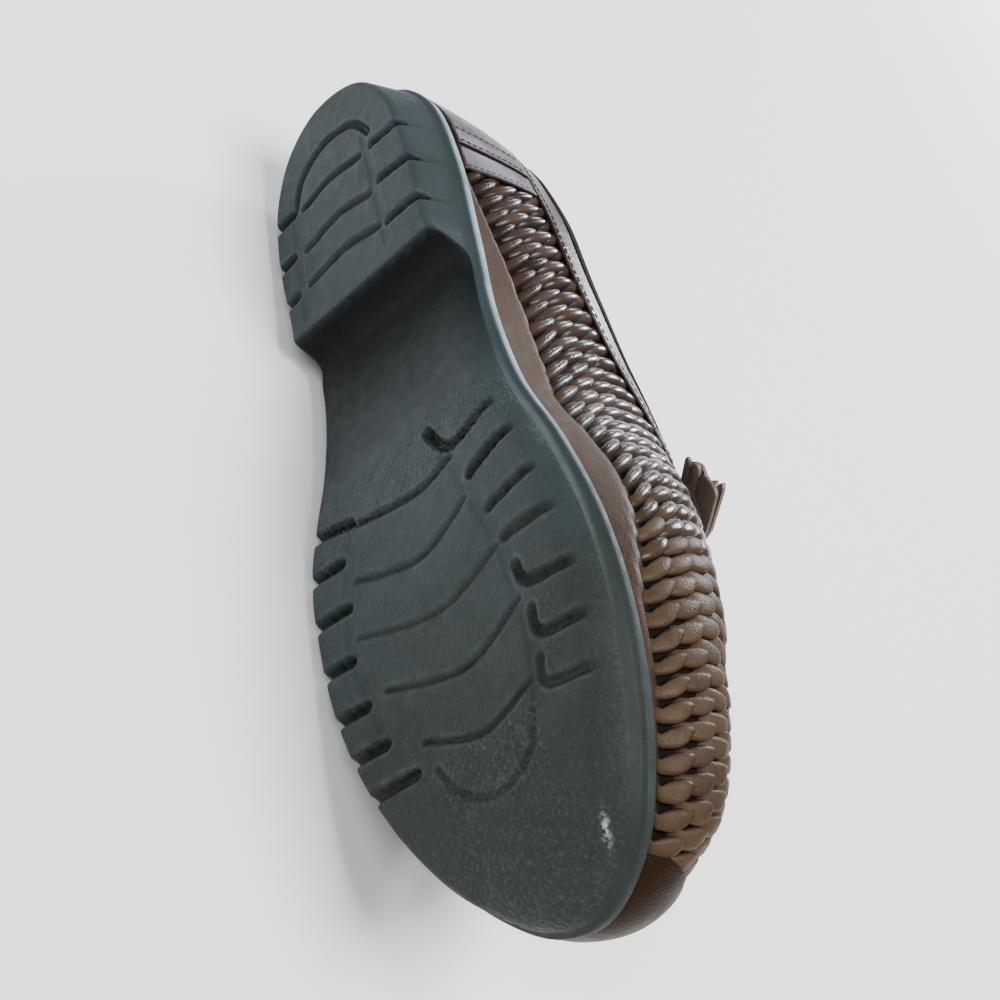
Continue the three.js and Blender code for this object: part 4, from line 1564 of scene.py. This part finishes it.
    def _lobe_form(self, shape: Array, u0: Array, row: Array) -> tuple[Array, Array, Array]:
        """The lobes' points in their own frames.

        Args:
            shape: points of a ball.
            u0: places of the lobes round the rim.
            row: their rows.

        Returns:
            Shares along each lobe, across it and up from it.
        """
        weave, last = self.weave, self.last
        x0 = last.at("hub_x", u0)
        length = shape[None, :, 2]
        sides = len(weave.turns)
        around = np.arctan2(shape[:, 1], shape[:, 0]) * sides / (2 * math.pi)
        turn = np.radians(weave.turns)[np.rint(around - around[0]).astype(int) % sides][None]
        full = np.clip(1 - np.abs(length) ** weave.at("square", x0), 0, 1)
        girth = full ** np.where(length > 0, weave.at("taper", x0), weave.at("root", x0))
        boxed = weave.at("boxed", x0)
        across = np.sign(np.cos(turn)) * np.abs(np.cos(turn)) ** boxed * girth
        heelward = across * np.sign(last.at("head_y", u0)) > 0
        notch = np.interp(row, range(len(weave.notch)), weave.notch) * smoothstep(x0, *weave.notch_from)
        notch = notch * np.exp(-((length - weave.notch_at) / weave.notch_width) ** 2)
        up = np.abs(np.sin(turn)) ** boxed * np.sqrt(full)
        return length, across * (1 - notch * heelward), np.where(np.sin(turn) > 0, up, -0.3 * up)

    def _lobes(self) -> None:
        """Copies one lobe over the whole weave, each bent to the last where it lies."""
        weave, last = self.weave, self.last
        rng = np.random.default_rng(SEED)
        shape, faces = ball(len(weave.turns), weave.rings)
        u0, arc0, row = (values[:, None] for values in self._rows())
        count, x0 = len(u0), last.at("hub_x", u0)
        length, across, up = self._lobe_form(shape, u0, row)
        jitter = (rng.normal(size=(count, 4)) * weave.jitter)[:, :, None]
        tip = length - weave.at("skew", x0) * across * np.maximum(length, 0)
        a = tip * weave.at("length", x0) / 2 * (1 + jitter[:, 0])
        lean = np.radians(weave.at("lean", x0) - weave.straighten * row + jitter[:, 1])
        b = across * weave.pitch(x0) * weave.at("fill", x0) / 2 * (1 + jitter[:, 2])
        u = u0 + b + last.at("head_y", u0) * a * np.tan(lean)
        share = last.share_at_arc(u, np.maximum(arc0 + a, weave.lowest))
        crown = weave.at("crown", x0) * (1 + jitter[:, 3])
        slope = weave.rise * np.maximum(length, 0) ** 1.5 - weave.dive * np.maximum(-length, 0) ** 2
        lift = np.maximum(weave.at("lift", x0) + crown * up + slope, weave.floor)
        grid = last.skin(u, share, lift)
        front = smoothstep(x0, *weave.worn_from)
        # Tone rises towards each lobe's crest, and below the lit range its flanks are darkened: painted
        # shading between the strips
        tone = 0.4 + 0.3 * rng.normal(size=(count, 1)) - 0.35 * (row == 0) * (1 - front) + 0.25 * up
        worn = np.clip(rng.normal(0.75, 0.25, size=(count, 1)), 0, 1) * front * np.clip(up, 0, 1)
        lit = smoothstep(up + 0.2 * smoothstep(x0, *weave.lit_from), *weave.lit)
        figures = {"tone": tone, "worn": worn, "painted_shade": 0.95 * (1 - lit)}
        piece = copies("woven_strips", self.place.points(grid), faces, figures)
        turn_outwards(piece)
        shade(piece, 80)
        dress(piece, Slot.WOVEN, self.finishes.woven, self.finishes.satin, self.finishes.worn)
        by_row = np.interp(row[:, 0], range(len(weave.matte_rows)), weave.matte_rows)
        matte = np.maximum(smoothstep(x0[:, 0], *weave.matte_from), by_row)
        dull = np.clip(np.rint(2 * matte + 0.22 * rng.normal(size=count)), 0, 2)
        piece.data.polygons.foreach_set("material_index", np.repeat(dull.astype(np.int32), len(faces)))


@dataclass
class Panels:
    """Smooth leather panels on the upper, their seams and the edge binding."""

    last: Last
    place: Placement
    finishes: Finishes
    upper: Upper
    counter_front: Table = ((0, 60), (34, 56), (90, 51))
    counter_heights: tuple[float, float] = (20.7, 55.0)
    counter_lift: float = 0.2
    counter_thickness: float = 1.2
    counter_grid: tuple[int, int] = (26, 120)
    counter_stitch: float = 2.6
    counter_insets: tuple[float, ...] = (2.0, 1.8, 9.0)
    patch_front: float = 45.0
    patch_top: float = 0.985
    patch_thickness: float = 0.8
    collar_thickness: float = 1.2
    collar_grid: tuple[int, int] = (12, 260)
    collar_seam: float = 0.14
    collar_stitch: float = 2.8
    edge_from: int = 8
    edge_thickness: float = 0.5
    binding_radius: float = 1.9
    binding_depth: float = 0.4
    cap_from: float = 287.0
    cap_lean: float = 26.0 / 220.0
    cap_thickness: float = 1.1
    cap_grid: tuple[int, int] = (22, 44)
    apron_start: float = 153.5
    apron_thickness: float = 1.3
    apron_seam_from: float = 178.0
    apron_seam_inset: float = 2.2
    strap_x: tuple[float, float] = (160.4, 176.4)
    strap_foot: float = 87.0
    strap_lift: float = 1.9
    strap_thickness: float = 1.8
    strap_round: float = 0.6
    panel_round: float = 0.4
    overlap: float = 0.1
    stitch_radius: float = 0.32
    stitch_lift: float = 0.05

    def build(self) -> None:
        """Builds and dresses the panels, seams and binding."""
        self._counter()
        self._collar()
        self._toe_cap()
        self._apron()
        self._strap()

    def _panel(self, name: str, u: Array, share: Array, lift: float, thickness: float, tone: float = 0.4,
               node: str | None = None, finish: bpy.types.Material | None = None) -> None:
        """Lays a panel on the last, gives it thickness outwards and rounds its edges.

        Args:
            name: the piece's name.
            u: places round the rim, rows by columns.
            share: places up the last, in the same layout.
            lift: height of its inner face over the last.
            thickness: in millimetres.
            tone: how light its leather is.
            node: the CAD node that it stands for, if any.
            finish: its material, smooth leather where none is given.
        """
        grid = self.last.skin(u, share, lift)
        piece = add_grid(name, self.place.points(grid), {"tone": np.full(grid.shape[:2], tone)})
        merge_seams(piece)
        thicken(piece, thickness, self.panel_round * thickness, 50)
        dress(piece, Slot.SMOOTH, finish or self.finishes.smooth, replaces=[node] if node else [])

    def _seam(self, name: str, u: Array, share: Array, lift: float, pitch: float = 3.0) -> None:
        """A row of stitches along a line on the last.

        Args:
            name: the piece's name.
            u: the line's places round the rim.
            share: its places up the last.
            lift: its height over the last.
            pitch: length of a stitch with its gap.
        """
        line = self.last.skin(u, share, lift)
        run = np.concatenate([[0], np.cumsum(np.linalg.norm(np.diff(line, axis=0), axis=1))])
        middles = np.arange(pitch, run[-1] - pitch, pitch)
        centre, ahead = (np.stack([np.interp(middles + step, run, column) for column in line.T], -1)
                         for step in (0, 0.5))
        heading = ahead - centre
        heading /= np.linalg.norm(heading, axis=1, keepdims=True)
        out = self.last.normal(np.interp(middles, run, u), np.interp(middles, run, share))
        side = np.cross(heading, out)
        shape, faces = ball(6, 5)
        shape = shape * (self.stitch_radius, self.stitch_radius, pitch * 0.4)
        grid = centre[:, None] + shape @ np.stack([side, out, heading], 1)
        piece = copies(name, self.place.points(grid), faces, {"tone": np.full(grid.shape[:2], 0.4)})
        shade(piece, 80)
        dress(piece, Slot.SMOOTH, self.finishes.thread)

    def _round_heel(self, front: Array | float) -> tuple[Array, Array]:
        """u and share of a sheet round the heel, from the sole up to the collar.

        Args:
            front: x of its front edge, one for each row or one for all.

        Returns:
            u and share, rows by columns, from the outer side to the inner one.
        """
        last = self.last
        rows = np.linspace(0.02, 1, self.counter_grid[0])[:, None]
        t = np.linspace(0, 1, self.counter_grid[1])[None, :]
        u = last.outer_u(front) * (1 - t) + (last.girth + last.inner_u(front)) * t
        u = np.broadcast_to(u, self.counter_grid)
        return u, rows * last.top_share(u[-1], self.upper.collar_height + last.gap)[None]

    def _counter(self) -> None:
        """The smooth panel round the heel and the patch on its back, with their seams."""
        heights = np.linspace(*self.counter_heights, self.counter_grid[0])[:, None]
        u, share = self._round_heel(np.interp(heights, *zip(*self.counter_front)))
        self._panel("counter_leather", u, share, self.counter_lift, self.counter_thickness,
                    node="heel_counter")
        patch, patch_share = self._round_heel(self.patch_front)
        patch_share = patch_share * self.patch_top
        lift = self.counter_lift + self.counter_thickness - self.overlap
        top = lift + self.patch_thickness
        self._panel("counter_patch", patch, patch_share, lift, self.patch_thickness, 0.3)
        seams = {"edge": (u, share, lift), "patch": (patch, patch_share, top),
                 "back": (patch, patch_share, top)}
        for inset, (name, (line_u, line_share, height)) in zip(self.counter_insets, seams.items()):
            up, height = line_share[:, 0], height + self.stitch_lift
            for side, at in (("inner", line_u[:, -1] - inset), ("outer", line_u[:, 0] + inset)):
                self._seam(f"counter_seam_{name}_{side}", at, up, height, self.counter_stitch)

    def _collar(self) -> None:
        """The smooth band along the opening, its seam and the dark binding on its edge."""
        last = self.last
        rows, columns = self.collar_grid
        top_u, top_share = last.opening_loop(0.0, columns)
        low_u, low_share = last.opening_loop(self.upper.collar_height, columns)
        w = np.linspace(0, 1, rows)[:, None]
        u = low_u[None] * (1 - w) + top_u[None] * w
        share = low_share[None] * (1 - w) + top_share[None] * w
        face = last.gap + self.collar_thickness
        self._panel("collar_leather", u, share, last.gap, self.collar_thickness, 0.5, "collar")
        seam = np.array([1 - self.collar_seam, self.collar_seam])
        self._seam("collar_seam", seam @ u[[0, -1]], seam @ share[[0, -1]], face + self.stitch_lift,
                   self.collar_stitch)
        edge = slice(self.edge_from, None)
        self._panel("collar_edge", u[edge], share[edge], face - self.overlap, self.edge_thickness, 0.3,
                    finish=self.finishes.binding)
        line = self.place.points(last.skin(top_u, top_share, -self.binding_depth))
        self._tube("collar_binding", line, self.binding_radius * MM)

    def _tube(self, name: str, line: Array, radius: float) -> None:
        """A round cord of leather along a line, with closed ends.

        Args:
            name: the piece's name.
            line: points in the row frame.
            radius: in metres.
        """
        curve = bpy.data.curves.new(name, "CURVE")
        curve.dimensions = "3D"
        curve.bevel_depth = radius
        curve.bevel_resolution = 3
        curve.use_fill_caps = True
        path = curve.splines.new("POLY")
        path.points.add(len(line) - 1)
        path.points.foreach_set("co", np.concatenate([line, np.ones((len(line), 1))], 1).ravel())
        piece = bpy.data.objects.new(name, curve)
        bpy.context.scene.collection.objects.link(piece)
        activate(piece)
        bpy.ops.object.convert(target="MESH")
        piece = bpy.context.active_object
        shade(piece, 60)
        dress(piece, Slot.SMOOTH, self.finishes.binding)

    def _in_cap(self, points: Array) -> Array:
        """Whether places lie ahead of the toe cap's leaning edge."""
        return points[..., 0] > self.cap_from + self.cap_lean * points[..., 2]

    def _toe_cap(self) -> None:
        """The smooth tip of the toe, where the weave ends."""
        last = self.last
        fan = np.linspace(last.length, last.outer_start, 400)
        shares = np.linspace(0, 0.9, 200)
        inside = self._in_cap(last.point(fan[None], shares[:, None]))
        top = shares[np.nonzero(inside.any(axis=1))[0][-1]]
        rows = np.linspace(0.0, top * 0.985, self.cap_grid[0])
        ends = []
        for hits in self._in_cap(last.point(fan[None], rows[:, None])):
            ends.append(fan[np.nonzero(hits)[0][[0, -1]]])
        t = np.linspace(0, 1, self.cap_grid[1])[None, :]
        low, high = np.stack(ends, -1)[..., None]
        u = low * (1 - t) + high * t
        share = np.broadcast_to(rows[:, None], u.shape)
        self._panel("toe_leather", u, share, last.gap, self.cap_thickness, 0.35, "toe_cap",
                    self.finishes.toe)

    def _apron(self) -> None:
        """The plain panel on top of the vamp, with its seam."""
        last, upper = self.last, self.upper
        reach = upper.apron_round
        centre = upper.apron_to - reach
        tip = centre + reach * np.sin(np.linspace(0, 1, 26)[1:] * math.pi / 2 * 0.985)
        x = np.concatenate([np.linspace(self.apron_start, centre, 40), tip])
        half = upper.apron_half * np.sqrt(np.clip(1 - (np.maximum(x - centre, 0) / reach) ** 2, 0, 1))
        middle = upper.apron_line(x)
        y = middle[None] + half[None] * np.linspace(-1, 1, 34)[:, None]
        u, share = last.from_plan(np.broadcast_to(x[None], y.shape).copy(), y)
        self._panel("apron_leather", u, share, last.gap, self.apron_thickness, 0.45, "apron")
        scale = 1 - self.apron_seam_inset / upper.apron_half
        line_x = np.concatenate([x, x[-2::-1]])
        line_x = np.where(line_x > centre, centre + (line_x - centre) * scale, line_x)
        line_y = np.concatenate([middle - half * scale, (middle + half * scale)[-2::-1]])
        keep = line_x > self.apron_seam_from
        u, share = last.from_plan(line_x[keep], line_y[keep])
        self._seam("apron_seam", u, share, last.gap + self.apron_thickness + self.stitch_lift)

    def _strap(self) -> None:
        """The strap across the vamp."""
        last = self.last
        x = np.linspace(*self.strap_x, 14)[:, None]
        edge = last.share_at_height(last.inner_u(x), np.full_like(x, self.strap_foot))
        reach = np.abs(last.point(last.inner_u(x), edge)[..., 1] - last.middle(x))
        y = last.middle(x) + reach * np.linspace(-1, 1, 60)[None, :]
        u, share = last.from_plan(np.broadcast_to(x, y.shape).copy(), y)
        grid = last.skin(u, share, self.strap_lift)[::-1, ::-1].transpose(1, 0, 2)
        piece = add_grid("strap_leather", self.place.points(grid), {"tone": np.full(grid.shape[:2], 0.4)})
        thicken(piece, self.strap_thickness, self.strap_round, 30)
        dress(piece, Slot.SMOOTH, self.finishes.smooth, replaces=["strap"])


class Hang(NamedTuple):
    """How one tassel hangs: its knot's place over the vamp, its turn, its dip, its lift over the crest."""

    name: str
    x: float
    y: float
    turn: float
    dip: float
    lift: float


@dataclass
class Tassels:
    """Two tassels of cut leather strips under wound knots."""

    place: Placement
    finishes: Finishes
    length: float = 29.0
    width: float = 19.0
    knot_radius: float = 4.6
    knot_half: float = 1.2
    gap: float = 0.3
    strips: tuple[float, ...] = (11.0, 4.6, 3.4)
    strip_thickness: float = 1.3
    layer_height: float = 0.8
    cup: float = 0.6
    cord_depth: float = 0.07
    cord_turns: float = 18.0
    hangs: tuple[Hang, ...] = (Hang("inner", 166, -6, -106, 30, 9.4), Hang("outer", 164, 13, 28, 22, 9))

    def build(self) -> None:
        """Builds and dresses the knots and the fringes."""
        for hang in self.hangs:
            self._knot(hang)
            self._fringe(hang)

    def _laid(self, hang: Hang, points: Array) -> Array:
        """Points of a tassel's own frame, its length along +x, in the row frame.

        Args:
            hang: how the tassel hangs.
            points: points of its own frame.

        Returns:
            Points in the row frame.
        """
        spin = Matrix.Rotation(math.radians(hang.turn), 3, "Z")
        turn = spin @ Matrix.Rotation(math.radians(hang.dip), 3, "Y")
        crest = float(profile("crest", np.full(1, hang.x))[0])
        base = np.array([hang.x, hang.y, crest + hang.lift])
        return self.place.points(points @ np.array(turn).T + base)

    def _wound(self, points: Array) -> Array:
        """A ball's points drawn out along its length, with turns of cord round it.

        Args:
            points: points of a ball.

        Returns:
            Points of the knot, its length along +x.
        """
        across, up, ahead = points.T
        distance = np.hypot(across, up)
        ring = 1 + self.cord_depth * np.cos(ahead * self.cord_turns + 0.8 * np.arctan2(up, across))
        full = np.clip(1 - ahead**4, 0, 1) ** 0.5 / np.maximum(distance, 1e-6)
        scale = np.where(distance < 1e-5, 0, full) * ring * self.knot_radius * 0.94
        return np.stack([ahead * self.knot_radius * self.knot_half, across * scale, up * scale], -1)

    def _knot(self, hang: Hang) -> None:
        """Lays one wound knot.

        Args:
            hang: how the tassel hangs.
        """
        points, faces = ball(28, 40)
        world = self._laid(hang, self._wound(points))[None]
        piece = copies(f"knot_wound_{hang.name}", world, faces, {"tone": np.full(world.shape[:2], 0.4)})
        shade(piece, 60)
        dress(piece, Slot.SMOOTH, self.finishes.smooth, replaces=[f"knot_{hang.name}"])

    @staticmethod
    def _bar() -> tuple[Array, Faces]:
        """Points and faces of a bar of length 1 from x = 0, its edges rounded, cut along its length.

        Returns:
            Its points and faces.
        """
        deselect()
        bpy.ops.mesh.primitive_cube_add(size=1)
        bpy.ops.object.mode_set(mode="EDIT")
        bpy.ops.mesh.bevel(offset=0.1, segments=2)
        bpy.ops.mesh.select_all(action="SELECT")
        bpy.ops.mesh.subdivide(number_cuts=7)
        bpy.ops.object.mode_set(mode="OBJECT")
        points, faces = taken()
        return points + (0.5, 0, 0), faces

    def _fringe(self, hang: Hang) -> None:
        """Strips in two layers that fan out from the knot, round at their ends, each curled on its own.

        Args:
            hang: how the tassel hangs.
        """
        rng = np.random.default_rng(SEED + len(hang.name))
        points, faces = self._bar()
        t, across, up = points.T
        tip = np.sqrt(np.clip(1 - (np.clip(t - 0.88, 0, 1) / 0.125) ** 2, 0.02, 1))
        gather = 0.6 + 0.4 * smoothstep(t, 0.0, 0.45)
        cup = self.cup * (2 * across) ** 2 * t
        start = self.knot_radius * self.knot_half + self.gap
        strips = []
        for layer in (-1, 1):
            edge = -self.width / 2
            for width in self.strips[::layer]:
                middle = edge + width / 2
                edge += width
                length = self.length * (1 - 0.08 * rng.random())
                curl = (0.3 + 1.1 * rng.random()) * t**2
                y = (middle + across * width * 0.94 * tip) * gather
                z = layer * (self.layer_height + curl - cup) + up * self.strip_thickness
                strips.append(np.stack([start + t * length, y, z], -1))
        world = self._laid(hang, np.stack(strips))
        tone = np.broadcast_to(0.75 + 0.15 * rng.normal(size=(len(strips), 1)), world.shape[:2])
        piece = copies(f"tassel_strips_{hang.name}", world, faces, {"tone": tone})
        shade(piece, 40)
        dress(piece, Slot.SMOOTH, self.finishes.tassel, replaces=[f"tassel_{hang.name}"])


@dataclass
class Studio:
    """Floor, light and camera."""

    place: Placement
    eye: tuple[float, float, float] = (424.9, -225.2, -262.5)
    up: tuple[float, float, float] = (-0.7842, -0.5625, -0.2619)
    aim: tuple[float, float, float] = (167.8, -2.6, 29.0)
    lens: float = 55.5
    floor_size: float = 6.0
    floor_tone: float = 0.93
    lit_place: tuple[float, float, float] = (0.0, 0.0, 0.04)
    surround: Colour = (0.95, 0.97, 1.0)
    surround_strength: float = 0.2

    def build(self) -> None:
        """Builds floor, lights, world and camera."""
        self._floor()
        self._lights()
        self._camera()

    def _floor(self) -> None:
        """A plain pale floor."""
        deselect()
        bpy.ops.mesh.primitive_plane_add(size=self.floor_size)
        floor = bpy.context.active_object
        floor.name = "floor"
        n = Nodes("pale_floor")
        n.set(Base_Color=(self.floor_tone,) * 3, Roughness=0.9)
        floor.data.materials.append(n.material)

    def _softbox(self, name: str, at: tuple[float, float, float], size: float, power: float,
                 colour: Colour) -> None:
        """A square soft light aimed at the shoe.

        Args:
            name: the light's name.
            at: its place in the row frame.
            size: width in metres.
            power: in watts.
            colour: its colour.
        """
        light = bpy.data.lights.new(name, "AREA")
        light.size = size
        light.energy = power
        light.color = colour
        lamp = bpy.data.objects.new(name, light)
        lamp.location = at
        ray = Vector(self.lit_place) - Vector(at)
        lamp.rotation_euler = ray.to_track_quat("-Z", "Y").to_euler()
        bpy.context.scene.collection.objects.link(lamp)

    def _lights(self) -> None:
        """A wide front light, a cool window light from behind and an even surround."""
        self._softbox("front_light", (0.4, -1.9, 1.5), 1.6, 52, (1.0, 0.99, 0.97))
        self._softbox("window_light", (-1.3, 1.75, 0.85), 0.4, 45, (0.88, 0.94, 1.0))
        self._softbox("side_light", (-1.87, 1.17, 0.67), 0.35, 6, (0.80, 0.88, 1.0))
        self._softbox("top_light", (0.5, 0.2, 2.6), 1.4, 130, (1.0, 1.0, 1.0))
        world = bpy.data.worlds.new("surround")
        world.use_nodes = True
        background = world.node_tree.nodes["Background"]
        background.inputs["Color"].default_value = (*self.surround, 1)
        background.inputs["Strength"].default_value = self.surround_strength
        bpy.context.scene.world = world

    def _camera(self) -> None:
        """A camera where the photograph's one stood to the shoe, turned to it and rolled."""
        data = bpy.data.cameras.new("camera")
        data.lens = self.lens
        data.clip_start = 0.01
        camera = bpy.data.objects.new("camera", data)
        eye = Vector(self.place.points(np.asarray(self.eye)))
        forward = (Vector(self.place.points(np.asarray(self.aim))) - eye).normalized()
        right = forward.cross(self.place.direction(self.up)).normalized()
        above = right.cross(forward)
        turn = Matrix((right, above, -forward)).transposed().to_4x4()
        camera.matrix_world = Matrix.Translation(eye) @ turn
        bpy.context.scene.collection.objects.link(camera)
        bpy.context.scene.camera = camera


def main() -> None:
    """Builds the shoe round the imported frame."""
    logging.basicConfig(level=logging.INFO, format="%(name)s: %(message)s")
    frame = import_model()
    place = Placement(frame["record"])
    Studio(place).build()
    last, finishes = Last(), Finishes()
    Sole(last, place, finishes).build()
    upper = Upper(last, place, finishes)
    upper.build()
    Panels(last, place, finishes, upper).build()
    Tassels(place, finishes).build()


if __name__ == "__main__":
    main()
